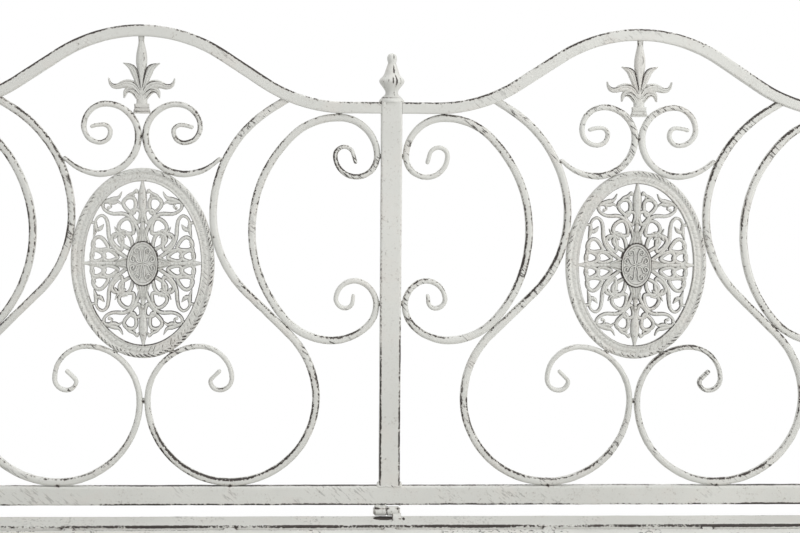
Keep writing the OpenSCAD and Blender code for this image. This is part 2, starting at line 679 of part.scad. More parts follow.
module arm(side) {
    translate([side * side_x, 0, 0]) rotate([90, 0, 90]) difference() {
        bar(concat([[arm_back + arm_t, arm_z - arm_t / 2, 180, -arm_t]], arm_path), arm_t, arm_w, arm_t / 2, 0, 250);
        // The back end lies flat against its plate
        translate([arm_back, arm_z - arm_t / 2, 0]) rotate(-recline)
            translate([0, -arm_t * 2, -arm_w]) cube([4 * arm_t, 4 * arm_t, 2 * arm_w]);
    }
}

module arm_left() { color("ivory") arm(-1); }
module arm_right() { color("ivory") arm(1); }

// A level square tube from the front leg back to a plate on the rear leg
module side_tube(side, z, top_y, low_y) {
    y = front_leg_y + post_w / 2;
    t = post_wall;
    difference() {
        across(side * side_x, post_w) polygon([[y, z], [low_y, z], [top_y, z + post_w], [y, z + post_w]]);
        across(side * side_x, post_w - 2 * t)
            polygon([[y - 1, z + t], [low_y + 50, z + t], [low_y + 50, z + post_w - t], [y - 1, z + post_w - t]]);
    }
}

module side_rail(side) {
    side_tube(side, side_rail_z, upper_y(side_rail_z + post_w, lug_t), upper_y(side_rail_z, lug_t));
}

module side_stretcher(side) {
    side_tube(side, stretcher_z, lower_y(stretcher_z + post_w, lug_t), lower_y(stretcher_z, lug_t));
}

module side_rail_left() { color("ivory") side_rail(-1); }
module side_rail_right() { color("ivory") side_rail(1); }
module side_stretcher_left() { color("ivory") side_stretcher(-1); }
module side_stretcher_right() { color("ivory") side_stretcher(1); }

// Scroll under the arm: a wide arch with a curl at each end, fitted to the height below the arm
arm_window = arm_low - seat_top;
arm_scroll_k = (arm_window - scroll_bar - 2 * touch) / 165.4;
arm_scroll_turns = [[220, 35], [75, 100], [38, 120], [20, 120], [10, 60]];
arm_scroll_right = [for (m = arm_scroll_turns) [m[0] * arm_scroll_k, -m[1]]];
arm_scroll_left = [for (m = arm_scroll_turns) [m[0] * arm_scroll_k, m[1]]];
arm_scroll_y = (front_leg_y + post_w / 2 + upper_y(seat_top + arm_window / 2, 0)) / 2;
arm_scroll_path = two_way([arm_scroll_y, arm_low - scroll_bar / 2 - touch, 0], arm_scroll_left, arm_scroll_right);

module arm_scroll(side) {
    translate([side * side_x, 0, 0]) rotate([90, 0, 90])
        bar(arm_scroll_path, scroll_bar, scroll_depth, curl_tip, 220, 220);
}

module arm_scroll_left() { color("ivory") arm_scroll(-1); }
module arm_scroll_right() { color("ivory") arm_scroll(1); }

module lug_plates() {
    color("ivory") for (side = [-1, 1], spot = lug_spots) difference() {
        translate([side * side_x, 0, 0]) on_leg(spot)
            translate([-post_w / 2, -lug_h / 2, 0]) cube([post_w, lug_h, lug_t]);
        each_bolt(side) translate([0, 0, -1]) cylinder(h = lug_t + 2, r = bolt_r + bolt_clear, $fn = 48);
    }
}

// Dome-headed bolt along Z, its head resting at z = 0
module bolt(shank) {
    intersection() {
        translate([0, 0, -bolt_r * 1.6]) sphere(r = bolt_r * 2.6, $fn = 64);
        cylinder(h = bolt_r * 2, r = bolt_r * 1.9, $fn = 64);
    }
    translate([0, 0, -shank]) cylinder(h = shank + 0.5, r = bolt_r, $fn = 48);
}

end_plug = 20;

module frame_bolts() {
    color("lightgray") {
        for (side = [-1, 1]) each_bolt(side) translate([0, 0, lug_t]) bolt(post_w + lug_t + bolt_r * 1.6);
        for (side = [-1, 1]) translate([side * (side_x + post_w / 2), front_leg_y, front_rail_top - post_w / 2])
            rotate([0, side * 90, 0]) bolt(post_w + end_plug - 3);
    }
}

module cap_nuts() {
    nut_h = bolt_r * 1.8;
    color("lightgray") for (side = [-1, 1]) each_bolt(side)
        translate([0, 0, -post_w]) rotate([180, 0, 0]) difference() {
            union() {
                cylinder(h = nut_h, r = bolt_r * 1.85, $fn = 6);
                translate([0, 0, nut_h - 0.5]) intersection() {
                    sphere(r = bolt_r * 1.5, $fn = 48);
                    cylinder(h = bolt_r * 2, r = bolt_r * 1.5, $fn = 48);
                }
            }
            translate([0, 0, -1]) cylinder(h = bolt_r * 1.6 + 1.2, r = bolt_r + pin_clear, $fn = 48);
        }
}

// Rail between the front legs, which the front of the seat rests on
module front_rail() {
    inner = side_x - post_w / 2;
    color("ivory") difference() {
        union() {
            tube_x(-inner, 2 * inner, front_leg_y - post_w / 2, front_rail_top - post_w, post_w, post_w, post_wall);
            for (side = [-1, 1])
                translate([side * (inner - end_plug / 2), front_leg_y, front_rail_top - post_w / 2])
                cube([end_plug, post_w - 2, post_w - 2], center = true);
        }
        for (side = [-1, 1]) translate([side * inner, front_leg_y, front_rail_top - post_w / 2]) rotate([0, 90, 0])
            cylinder(h = 3 * end_plug, r = bolt_r + pin_clear, center = true, $fn = 48);
    }
}

module rear_stretcher() {
    inner = side_x - post_w / 2;
    mid = lower_y(stretcher_up, -post_w / 2);
    color("ivory") translate([0, mid, stretcher_up]) rotate([leg_splay, 0, 0])
        tube_x(-inner, 2 * inner, -post_w / 2, -post_w / 2, post_w, post_w, post_wall);
}

// Plastic caps: a plug inside each leg and a pad under it
module foot_caps() {
    pad = post_w + 2;
    plug = post_w - 2 * post_wall - 0.6;
    rear_pad = pad / cos(leg_splay);
    color("dimgray") for (side = [-1, 1]) {
        translate([side * side_x - pad / 2, front_leg_y - pad / 2, 0]) cube([pad, pad, foot_t]);
        translate([side * side_x - plug / 2, front_leg_y - plug / 2, foot_t - 1]) cube([plug, plug, 16]);
        translate([side * side_x - pad / 2, lower_y(foot_t / 2, -post_w / 2) - rear_pad / 2, 0])
            cube([pad, rear_pad, foot_t]);
        across(side * side_x, plug)
            polygon([for (q = [[foot_t - 1, -1], [foot_t - 1, 1], [foot_t + 15, 1], [foot_t + 15, -1]])
                [lower_y(q[0], (q[1] * plug - post_w) / 2), q[0]]]);
    }
}

// Seat
seat_low = seat_top - seat_tube;
seat_front = axis_y - seat_depth;

module seat_rear_rail() {
    color("ivory") tube_x(-seat_half, 2 * seat_half, axis_y - seat_tube, seat_low, seat_tube, seat_tube, seat_wall);
}

module seat_front_rail() {
    color("ivory") tube_x(-seat_half, 2 * seat_half, seat_front, seat_low, seat_tube, seat_tube, seat_wall);
}

module seat_side_rail(side) {
    x = side > 0 ? seat_half - seat_tube : -seat_half;
    tube_y(seat_front + seat_tube, seat_depth - 2 * seat_tube, x, seat_low, seat_tube, seat_tube, seat_wall);
}

module seat_side_rail_left() { color("ivory") seat_side_rail(-1); }
module seat_side_rail_right() { color("ivory") seat_side_rail(1); }

module seat_cross_bars() {
    color("ivory") for (i = [1 : cross_count])
        tube_y(seat_front + seat_tube, seat_depth - 2 * seat_tube, -seat_half + i * cross_pitch - cross_bar / 2,
            seat_top - slat_t - cross_bar, cross_bar, cross_bar, seat_wall);
}

module seat_slat(i) {
    run = seat_half - seat_tube;
    translate([-run, seat_front + seat_tube + (i - 0.5) * slat_pitch - slat_w / 2, seat_top - slat_t])
        cube([2 * run, slat_w, slat_t]);
}

module seat_slat_1() { color("ivory") seat_slat(1); }
module seat_slat_2() { color("ivory") seat_slat(2); }
module seat_slat_3() { color("ivory") seat_slat(3); }
module seat_slat_4() { color("ivory") seat_slat(4); }
module seat_slat_5() { color("ivory") seat_slat(5); }
module seat_slat_6() { color("ivory") seat_slat(6); }
module seat_slat_7() { color("ivory") seat_slat(7); }
module seat_slat_8() { color("ivory") seat_slat(8); }

rear_leg_left();
rear_leg_right();
centre_post();
lower_rail();
top_rail_left();
top_rail_right();
lyre_scroll_1();
lyre_scroll_2();
lyre_scroll_3();
lyre_scroll_4();
c_scroll_1();
c_scroll_2();
c_scroll_3();
c_scroll_4();
heart_scroll_1();
heart_scroll_2();
heart_scroll_3();
heart_scroll_4();
medallion_left();
medallion_right();
lily_left();
lily_right();
finial_left();
finial_centre();
finial_right();
back_hinge_knuckles();
hinge_pins();
front_leg_left();
front_leg_right();
arm_left();
arm_right();
side_rail_left();
side_rail_right();
side_stretcher_left();
side_stretcher_right();
arm_scroll_left();
arm_scroll_right();
lug_plates();
frame_bolts();
cap_nuts();
front_rail();
rear_stretcher();
foot_caps();
seat_rear_rail();
seat_front_rail();
seat_side_rail_left();
seat_side_rail_right();
seat_cross_bars();
seat_slat_1();
seat_slat_2();
seat_slat_3();
seat_slat_4();
seat_slat_5();
seat_slat_6();
seat_slat_7();
seat_slat_8();
seat_hinge_knuckles();
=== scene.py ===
"""Garden bench in worn cream paint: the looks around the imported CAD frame. Lengths are mm until make()."""
import math

import bmesh
import bpy
import numpy as np
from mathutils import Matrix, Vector, noise


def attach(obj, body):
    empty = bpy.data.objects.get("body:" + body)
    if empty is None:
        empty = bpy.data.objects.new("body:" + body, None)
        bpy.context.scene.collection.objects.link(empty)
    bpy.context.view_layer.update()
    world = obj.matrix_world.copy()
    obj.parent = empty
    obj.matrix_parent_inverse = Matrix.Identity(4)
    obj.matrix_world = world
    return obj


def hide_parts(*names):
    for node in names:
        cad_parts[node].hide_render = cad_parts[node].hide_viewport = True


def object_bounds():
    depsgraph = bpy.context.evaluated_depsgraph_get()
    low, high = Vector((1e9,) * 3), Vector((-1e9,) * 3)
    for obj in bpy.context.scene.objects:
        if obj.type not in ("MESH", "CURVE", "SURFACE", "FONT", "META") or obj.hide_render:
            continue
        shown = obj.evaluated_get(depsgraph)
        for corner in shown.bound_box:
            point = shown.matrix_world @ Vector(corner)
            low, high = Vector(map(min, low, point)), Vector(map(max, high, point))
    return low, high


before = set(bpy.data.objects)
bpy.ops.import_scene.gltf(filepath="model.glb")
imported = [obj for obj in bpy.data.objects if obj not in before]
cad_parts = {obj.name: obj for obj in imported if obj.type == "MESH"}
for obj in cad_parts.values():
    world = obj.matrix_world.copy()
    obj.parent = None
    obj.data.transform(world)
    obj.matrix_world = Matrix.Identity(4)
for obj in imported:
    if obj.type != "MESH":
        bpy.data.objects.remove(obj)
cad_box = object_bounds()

noise.seed_set(7)                      # noise_vector would differ in each run without a seed

MM = 0.001
LEAN = math.radians(12)
BASE_Y, BASE_Z = 178.582, 470.254      # front edge of the top of the lower rail
AXIS_Y, AXIS_Z = 171.429, 445.5        # hinge axis
HALF_BAY, SIDE_X, POST = 260.0, 520.0, 22.0
INNER = SIDE_X - POST / 2              # inner faces of the legs
SHOULDER, TOP_BAR = 407.0, 12.0
MID = -6.0                             # middle of the scrollwork, behind the front of the back
MEDAL_UP, MEDAL_A, MEDAL_B = 236.882, 75.0, 100.0      # place, half width and half height of a medallion
LILY_LOW, LILY_TALL = 393.594, 79.2558 / 75            # foot of a lily, and its stretch upward
FRONT_LEG_Y = AXIS_Y - 385
SEAT_TOP, SEAT_HALF, SEAT_TUBE = 440.0, 504.0, 25.0
SEAT_FRONT = AXIS_Y - 400
CROSS_STEP = 168                       # between the bars under the slats
HINGES = (-469.0, -3.0, 469.0)
KNEE_Y, KNEE_Z = 173.54, 343.729       # end of the bend of the rear leg


# Places
def back(u, v, n):
    """A place on the leaning back: u along the bench, v up the back, n out of its front."""
    return Vector((u, BASE_Y + v * math.sin(LEAN) - n * math.cos(LEAN),
                   BASE_Z + v * math.cos(LEAN) + n * math.sin(LEAN)))


def on_back(u0, v0=0.0, n0=0.0, sx=1, sy=1):
    return lambda x, y, n: back(u0 + sx * x, v0 + sy * y, n0 + n)


def on_side(x0):
    """Paths drawn in Y and Z, with their depth along X."""
    return lambda a, b, c: Vector((x0 + c, a, b))


def quarter(k):
    """Right half of a bay, or its mirror image: 1 to 4 from left to right."""
    return on_back(-HALF_BAY if k < 3 else HALF_BAY, 0, MID, -1 if k % 2 else 1)


# Paths
def travel(p, move, t):
    x, y, h, s = p
    r, turn = move
    if turn == 0:
        return (x + r * t * math.cos(h), y + r * t * math.sin(h), h, s + r * t)
    sign = 1 if turn > 0 else -1
    b = h + math.radians(turn) * t
    return (x + r * sign * (math.sin(b) - math.sin(h)), y - r * sign * (math.cos(b) - math.cos(h)),
            b, s + r * abs(math.radians(turn)) * t)


def trail(x, y, heading, moves):
    """[x, y, heading, distance] along moves of (radius, turn) or (length, 0)."""
    p = (x, y, math.radians(heading), 0.0)
    out = [p]
    for move in moves:
        r, turn = move
        long = r if turn == 0 else r * abs(math.radians(turn))
        n = max(1 if turn == 0 else 3, math.ceil(long / 5), math.ceil(abs(turn) / 8))
        out += [travel(p, move, k / n) for k in range(1, n + 1)]
        p = out[-1]
    return out


def two_way(x, y, heading, behind, ahead):
    b = trail(x, y, heading + 180, behind)
    a = trail(x, y, heading, ahead)
    return [(q[0], q[1], q[2] - math.pi, -q[3]) for q in b[:0:-1]] + a


def stretch(path, x, y, wide, tall):
    return [(x + wide * p[0], y + tall * p[1],
             math.atan2(tall * math.sin(p[2]), wide * math.cos(p[2])), p[3]) for p in path]


def line(x0, y0, x1, y1, step=9.0):
    h = math.atan2(y1 - y0, x1 - x0)
    long = math.hypot(x1 - x0, y1 - y0)
    n = max(2, math.ceil(long / step))
    return [(x0 + (x1 - x0) * k / n, y0 + (y1 - y0) * k / n, h, long * k / n) for k in range(n + 1)]


def hand(points, n=5):
    """A smooth path through listed points."""
    pts = [np.array(p, float) for p in points]
    at = lambda i: pts[max(0, min(len(pts) - 1, i))]
    run = []
    for i in range(len(pts) - 1):
        a, b, c, d = at(i - 1), at(i), at(i + 1), at(i + 2)
        for k in range(n + (i == len(pts) - 2)):
            t = k / n
            run.append(0.5 * (2 * b + (c - a) * t + (2 * a - 5 * b + 4 * c - d) * t ** 2
                              + (3 * b - a - 3 * c + d) * t ** 3))
    out, s = [], 0.0
    for i, q in enumerate(run):
        d = run[min(i + 1, len(run) - 1)] - run[max(i - 1, 0)]
        s += np.linalg.norm(q - run[i - 1]) if i else 0
        out.append((q[0], q[1], math.atan2(d[1], d[0]), s))
    return out


def around(x, y, r, n=18):
    return [(x + r * math.cos(a), y + r * math.sin(a), a + math.pi / 2, r * a)
            for a in (2 * math.pi * k / n for k in range(n))]


# Sections
def bar_section(r=0.9, worn=(1, 1, 1, 1), rim=1.0, lip_wear=0.36):
    """Section of a bar with rounded corners that carry the wear; rim is its share beside the middle."""
    def section(w, d):
        c = min(r, w * 0.42, d * 0.42)
        out = []
        for k, (sx, sy) in enumerate(((1, 1), (-1, 1), (-1, -1), (1, -1))):
            for j, share in enumerate((rim, 1.0, rim)):
                a = math.radians(90 * k + 45 * j)
                out.append((sx * (w / 2 - c) + c * math.cos(a), sy * (d / 2 - c) + c * math.sin(a),
                            share * worn[k]))
            span = (w if k % 2 == 0 else d) - 2 * c
            lip = min(1.4, span * 0.3)
            x, y = out[-1][:2]
            near, far = lip_wear * worn[k], lip_wear * worn[(k + 1) % 4]
            for t, e in ((lip, near), (span / 2, 0.0), (span - lip, far)):
                out.append((x - t * (k == 0) + t * (k == 2), y - t * (k == 1) + t * (k == 3), e))
        return out
    return section


def rail_section(w, d):
    """The top of the lower rail is rubbed from its rear edge forward."""
    plain = bar_section(1.3, (0.3, 0.98, 0.8, 0.8))
    return [(a, b, np.interp(b, (-d / 2, 0.0, d / 2), (1.15, 0.9, 0.3)) if a > w / 2 - 0.5 else e)
            for a, b, e in plain(w, d)]


def relief_section(low, high):
    """A cast ribbon: a ridge between two grooves."""
    def section(w, d):
        h, k = w / 2, d
        half = ((1.0, low, 0.3), (1.0, high * 0.3 * k, 1.4), (0.84, high * 0.7 * k, 1.1),
                (0.6, high * 0.7 * k, 0.15), (0.28, high * 0.95 * k, 0.0))
        return [(h * a, b, e) for a, b, e in half] + [(0.0, high * k, 0.1)] \
            + [(-h * a, b, e) for a, b, e in reversed(half)]
    return section


def curl_section(w, d):
    """A thin raised curl with dark flanks."""
    half = ((0.5, -1.0, 1.5), (0.42, 0.45 * d, 1.5), (0.24, 1.3 * d, 0.1))
    return [(w * a, b, e) for a, b, e in half] + [(-w * a, b, e) for a, b, e in reversed(half)]


def crease_section(low, dark):
    """A thin dark line that lies just over a surface, painted shade standing in for a groove."""
    return lambda w, d: [(w / 2, low, dark), (w / 4, 0.1, dark), (-w / 4, 0.1, dark), (-w / 2, low, dark)]


def blade_section(low, high, hollow=0.0):
    """A leaf or spear: sloping sides, a sharp crest or a hollow along the middle."""
    def section(w, d):
        h = w / 2
        half = ((1.0, low, 0.1), (1.0, high * 0.3 * d, 0.62), (0.7, high * 0.75 * d, 0.05),
                (0.3, high * d, 0.3), (0.1, high * (1 - 0.4 * hollow) * d, 0.4 + 0.55 * hollow))
        return [(h * a, b, e) for a, b, e in half] \
            + [(0.0, high * (1.06 - hollow) * d, 0.2 + 0.75 * hollow)] \
            + [(-h * a, b, e) for a, b, e in reversed(half)]
    return section


# Meshes
SPOTS = []                             # dark places at contacts, dark joints with painted contact shade: (place, radius)
LIMITS = np.array([list(corner) for corner in cad_box]) / MM


class Shape:
    def __init__(self):
        self.co, self.edge, self.faces = [], [], []

    def skin(self, rows, loop=False):
        base, n = len(self.co), len(rows[0])
        for row in rows:
            for p, e in row:
                self.co.append(p)
                self.edge.append(e)
        for i in range(len(rows) if loop else len(rows) - 1):
            k = (i + 1) % len(rows)
            for j in range(n):
                m = (j + 1) % n
                self.faces.append((base + i * n + j, base + i * n + m, base + k * n + m, base + k * n + j))
        if not loop:
            self.faces.append(tuple(base + j for j in range(n)))
            self.faces.append(tuple(base + (len(rows) - 1) * n + j for j in range(n)))

    def sweep(self, path, place, w, d, section, n=0.0, loop=False, ends="square", rain=0.0):
        """w and d are numbers, or functions of the place along the path from 0 to 1.

        rain moves the wear to the upper side of the bar, and away from its thin ends.
        """
        low, high = path[0][3], path[-1][3]
        wide = w if callable(w) else (lambda t: w)
        deep = d if callable(d) else (lambda t: d)
        stations = []
        for x, y, h, s in path:
            t = (s - low) / (high - low)
            stations.append((x, y, h, wide(t), deep(t)))
        if not loop:
            stations = cap(stations[0], -1, ends) + stations + cap(stations[-1], 1, ends)
        rows = []
        for x, y, h, ww, dd in stations:
            o = place(x, y, n)
            across = place(x - math.sin(h), y + math.cos(h), n) - o
            out = place(x, y, n + 1) - o
            thin = 1 - ww / wide(0.5)
            row = []
            for a, b, e in section(ww, dd):
                off = across * a + out * b
                side = (0.95 * off.z - 0.3 * off.x) / max(off.length, 1e-6)
                row.append((o + off, e * (1 + rain * (side - 0.2 - thin))))
            rows.append(row)
        self.skin(rows, loop)

    def lathe(self, profile, place, count=32, flute=None):
        """profile of (radius, height, edge); place(x, height, z) turns about the second axis."""
        rows = []
        for r, y, e in profile:
            row = []
            for j in range(count):
                a = 2 * math.pi * j / count
                rr, ee = flute(r, y, a, e) if flute else (r, e)
                row.append((place(rr * math.cos(a), y, rr * math.sin(a)), ee))
            rows.append(row)
        self.skin(rows)

    def blob(self, centre, rx, ry, rz, seed, edge=0.3):
        rows = []
        for i in range(1, 7):
            b = math.pi * i / 7
            rows.append([(centre + Vector((rx * math.sin(b) * math.cos(a), ry * math.sin(b) * math.sin(a),
                                           rz * math.cos(b)))
                          * (1 + 0.28 * noise.noise(Vector((a, 2 * b, seed)))), edge)
                         for a in (2 * math.pi * j / 10 for j in range(10))])
        self.skin(rows)

    def make(self, name, body, slot, material, nodes=(), rough=0.16, wave=8.0):
        co = np.array([p + noise.noise_vector(p / wave) * rough + noise.noise_vector(p / 45) * rough
                       for p in self.co])
        co = np.clip(co, LIMITS[0], LIMITS[1])
        mesh = bpy.data.meshes.new(name)
        mesh.from_pydata([tuple(p) for p in co * MM], [], self.faces)
        joint_dirt_and_shade = np.zeros(len(co))
        if SPOTS:
            at = np.array([s[0] for s in SPOTS])
            size = np.array([s[1] for s in SPOTS])
            for i in range(0, len(co), 4000):
                far = np.linalg.norm(co[i:i + 4000, None] - at[None], axis=2)
                joint_dirt_and_shade[i:i + 4000] = np.clip(1 - far / size, 0, 1).max(1)
        for key, values in (("edge", self.edge), ("joint_dirt_and_shade", joint_dirt_and_shade)):
            layer = mesh.attributes.new(key, "FLOAT", "POINT")
            layer.data.foreach_set("value", np.array(values, np.float32))
        bm = bmesh.new()
        bm.from_mesh(mesh)
        bmesh.ops.recalc_face_normals(bm, faces=bm.faces)
        bm.to_mesh(mesh)
        bm.free()
        mesh.polygons.foreach_set("use_smooth", [True] * len(mesh.polygons))
        obj = bpy.data.objects.new(name, mesh)
        bpy.context.scene.collection.objects.link(obj)
        mesh.materials.append(material)
        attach(obj, body)
        if nodes:
            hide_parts(*nodes)
        return obj


def cap(station, way, kind):
    """Extra rings that round off or bevel an end."""
    x, y, h, w, d = station
    rings = []
    if kind == "round":
        for a in (25, 50, 70, 84):
            s = math.radians(a)
            reach = way * w / 2 * math.sin(s)
            rings.append((x + reach * math.cos(h), y + reach * math.sin(h), h,
                          w * math.cos(s), d * (1 - 0.25 * (1 - math.cos(s)))))
    else:
        bevel = 0.5
        rings = [(x + way * 0.01 * math.cos(h), y + way * 0.01 * math.sin(h), h, w, d),
                 (x + way * bevel * math.cos(h), y + way * bevel * math.sin(h), h, w - 2 * bevel, d * 1.0)]
        rings = rings[:1] if kind == "flat" else rings
    return rings if way > 0 else rings[::-1]


def tapered(path, w, tip, a, b):
    """Width of a bar that runs down to a tip over the distances a and b at its ends."""
    long = path[-1][3] - path[0][3]
    share = lambda far, run: far / run if run else 1.0
    return lambda t: tip + (w - tip) * min(1.0, share(t * long, a), share((1 - t) * long, b))


# Materials
def srgb(r, g, b):
    lin = lambda c: (c / 255 / 12.92) if c <= 10 else ((c / 255 + 0.055) / 1.055) ** 2.4
    return (lin(r), lin(g), lin(b), 1.0)


class Graph:
    def __init__(self, name):
        self.material = bpy.data.materials.new(name)
        self.material.use_nodes = True
        self.tree = self.material.node_tree
        self.shader = self.tree.nodes["Principled BSDF"]
        self.place = self.add("TexCoord").outputs["Object"]

    def add(self, kind, inputs=None, **props):
        node = self.tree.nodes.new("ShaderNode" + kind)
        for key, value in props.items():
            setattr(node, key, value)
        for key, value in (inputs or {}).items():
            self.set(node.inputs[key], value)
        return node

    def set(self, socket, value):
        if isinstance(value, bpy.types.NodeSocket):
            self.tree.links.new(value, socket)
        else:
            socket.default_value = value

    def noise(self, scale, detail=4.0, rough=0.6, stretch=None):
        place = self.place
        if stretch:
            place = self.add("Mapping", {"Vector": place, "Scale": stretch}).outputs[0]
        return self.add("TexNoise", {"Vector": place, "Scale": scale, "Detail": detail,
                                     "Roughness": rough}).outputs[0]

    def math(self, op, a, b=0.0):
        return self.add("Math", {0: a, 1: b}, operation=op).outputs[0]

    def ramp(self, value, low, high, to_low=0.0, to_high=1.0):
        return self.add("MapRange", {0: value, 1: low, 2: high, 3: to_low, 4: to_high}).outputs[0]

    def mix(self, fac, a, b):
        return self.add("Mix", {0: fac, 6: a, 7: b}, data_type="RGBA").outputs[2]

    def attribute(self, name):
        return self.add("Attribute", attribute_name=name).outputs["Fac"]

    def finish(self, colour, rough, height, distance):
        self.set(self.shader.inputs["Base Color"], colour)
        self.set(self.shader.inputs["Roughness"], rough)
        bump = self.add("Bump", {"Strength": 0.7, "Distance": distance, "Height": height})
        self.set(self.shader.inputs["Normal"], bump.outputs[0])
        return self.material


def worn_paint(name, edges=0.0, specks=0.0, pits=0.0, hollow_grime_and_shade=0.0, scuffs=0.0):
    """Cream paint rubbed through to dark metal on edges and in small specks, dark at contacts from dark
    joints and painted shade, and darkened in the hollows of castings by soiling and painted shade.
    """
    g = Graph(name)
    broad, mid, ragged, fine = g.noise(7, 3), g.noise(60, 5, 0.7), g.noise(380, 4, 0.75), g.noise(1500, 2)
    grain = g.noise(150, 4, 0.7, (0.35, 1.0, 2.6))
    zone = g.noise(9, 3)
    swing = lambda value, size: g.math("MULTIPLY", g.math("ADD", value, -0.5), size)
    most = lambda a, b: g.math("MAXIMUM", a, b)
    # Worn edges, in broken lines
    place = g.math("ADD", swing(mid, 1.3), g.math("ADD", swing(ragged, 2.6), swing(zone, 2.6)))
    edge = g.math("MULTIPLY", g.attribute("edge"), g.math("ADD", place, 0.80 + edges))
    edge_wear = g.ramp(edge, 0.86, 0.96)
    # Dark joints, and painted shade at contacts
    joint_dirt_and_shade = g.math("ADD", g.math("MULTIPLY", g.attribute("joint_dirt_and_shade"), 1.15), g.math("MULTIPLY", ragged, 0.75))
    joint_wear_and_shade = g.ramp(joint_dirt_and_shade, 1.0, 1.15)
    # Specks and short scratches on the flats
    speck = g.math("ADD", swing(ragged, 1.0), swing(mid, 0.45))
    speck_wear = g.ramp(speck, 0.2 - specks, 0.27 - specks)
    scratch = g.ramp(g.math("ADD", grain, g.math("MULTIPLY", broad, 0.25)), 0.865, 0.90, 0.0, 0.7)
    # Places scuffed in slanting strokes
    slant = g.add("Mapping", {"Vector": g.place, "Rotation": (0, 0.7, 0), "Scale": (3.0, 1.0, 0.5)},
                  vector_type="TEXTURE").outputs[0]
    stroke = g.add("TexNoise", {"Vector": slant, "Scale": 240, "Detail": 3, "Roughness": 0.6}).outputs[0]
    scuff = g.math("MULTIPLY", g.ramp(stroke, 0.56, 0.62), g.ramp(g.noise(14, 2), 0.53, 0.58, 0.0, scuffs))
    wear = most(most(edge_wear, joint_wear_and_shade), most(speck_wear, most(scratch, scuff)))
    # A thin brownish rim round the wear, the dark joints and painted shade, and the colours of the paint
    halo = most(g.ramp(edge, 0.60, 0.95),
                most(g.ramp(joint_dirt_and_shade, 0.80, 1.05), g.ramp(speck, 0.09 - specks, 0.25 - specks)))
    cream = g.mix(g.ramp(broad, 0.35, 0.65), srgb(207, 207, 202), srgb(215, 215, 210))
    cream = g.mix(g.ramp(g.noise(28, 3), 0.52, 0.72, 0.0, 0.4), cream, srgb(211, 204, 197))
    cream = g.mix(g.ramp(fine, 0.35, 0.75, 0.0, 0.16), cream, srgb(184, 180, 174))
    if pits:
        cream = g.mix(g.ramp(g.noise(620, 2, 0.5), 0.5, 0.66, 0.0, pits), cream, srgb(148, 144, 139))
    # Soiling and painted shade: the hollows and flanks of castings are darkened
    hollow_grime_and_shade_mask = g.math("MULTIPLY", g.ramp(g.attribute("edge"), 0.5, 1.05, 0.0, hollow_grime_and_shade),
                     g.ramp(zone, 0.36, 0.6, 0.5, 1.0))
    cream = g.mix(hollow_grime_and_shade_mask, cream, srgb(70, 66, 62))
    colour = g.mix(g.math("MULTIPLY", halo, 0.5), cream, srgb(150, 139, 129))
    colour = g.mix(wear, colour, g.mix(mid, srgb(24, 22, 22), srgb(70, 62, 57)))
    rough = g.math("ADD", g.math("MULTIPLY", wear, 0.22), g.ramp(broad, 0.3, 0.7, 0.46, 0.58))
    relief = g.math("ADD", g.math("MULTIPLY", mid, 0.5), g.math("MULTIPLY", ragged, 0.35 + pits))
    height = g.math("SUBTRACT", relief, g.math("MULTIPLY", wear, 0.55))
    return g.finish(colour, rough, height, 0.0006)


def painted_metal(name):
    """Zinc fasteners under thin paint."""
    g = Graph(name)
    mid, ragged = g.noise(90, 4), g.noise(500, 3)
    bare = g.ramp(g.math("ADD", g.math("MULTIPLY", mid, 0.6), g.math("MULTIPLY", ragged, 0.5)), 0.58, 0.64)
    colour = g.mix(bare, srgb(205, 203, 198), g.mix(ragged, srgb(92, 84, 78), srgb(140, 134, 128)))
    g.set(g.shader.inputs["Metallic"], g.ramp(bare, 0, 1, 0.0, 0.8))
    return g.finish(colour, g.ramp(ragged, 0.3, 0.7, 0.38, 0.6), ragged, 0.0003)


def moulded_plastic(name):
    g = Graph(name)
    fine, broad = g.noise(1200, 3), g.noise(30, 3)
    colour = g.mix(g.ramp(broad, 0.35, 0.65), srgb(66, 66, 66), srgb(82, 81, 79))
    return g.finish(colour, g.ramp(fine, 0.3, 0.7, 0.5, 0.68), fine, 0.00025)


PAINT = worn_paint("worn_paint", scuffs=0.9)
CAST = worn_paint("worn_casting", edges=0.02, specks=0.04, pits=0.36, hollow_grime_and_shade=0.8)
TURNED = worn_paint("worn_turning", edges=0.1, specks=0.015, pits=0.12, hollow_grime_and_shade=0.3)
LILY = worn_paint("worn_lily", edges=0.06, specks=0.02, pits=0.25, hollow_grime_and_shade=0.5)
RAIL = worn_paint("worn_rail", edges=0.16, specks=0.01, scuffs=0.3)
POST_PAINT = worn_paint("worn_post", edges=0.16, specks=0.01)
METAL = painted_metal("painted_fastener")
PLASTIC = moulded_plastic("foot_plastic")

# Dark joints, and painted shade where parts meet
for bay in (-HALF_BAY, HALF_BAY):
    for way in (-1, 1):
        for u, v, size in ((91, 0, 6), (0, 91, 4), (30, 143, 3), (74, 266, 4), (0, 370, 4), (26, 333, 3),
                           (83, 345, 4), (151, 170, 4), (151, 411, 4), (205, 395, 4), (249, 350, 3),
                           (249, 195, 4), (249, 407, 3), (249, 395, 3), (249, -20, 3)):
            for n in (-2.5, -9.5):
                SPOTS.append((back(bay + way * u, v, n), size))
# At each hinge: dark spots along the tops of the barrels where the leaves are welded, and painted shadow on
# the rail beside the seat foot
for x in HINGES:
    for dx in (-12, -8, -4, 0, 3, 12):
        SPOTS.append((Vector((x + dx, AXIS_Y - 3, AXIS_Z + 4.5)), 4.0))
    SPOTS.append((Vector((x + 14, AXIS_Y - 12, SEAT_TOP + 1)), 4.0))
for k in range(1, 6):
    for y in (AXIS_Y - SEAT_TUBE, SEAT_FRONT + SEAT_TUBE):
        for dx in (-7, 7):
            SPOTS.append((Vector((-SEAT_HALF + CROSS_STEP * k + dx, y, SEAT_TOP - 2)), 5.0))


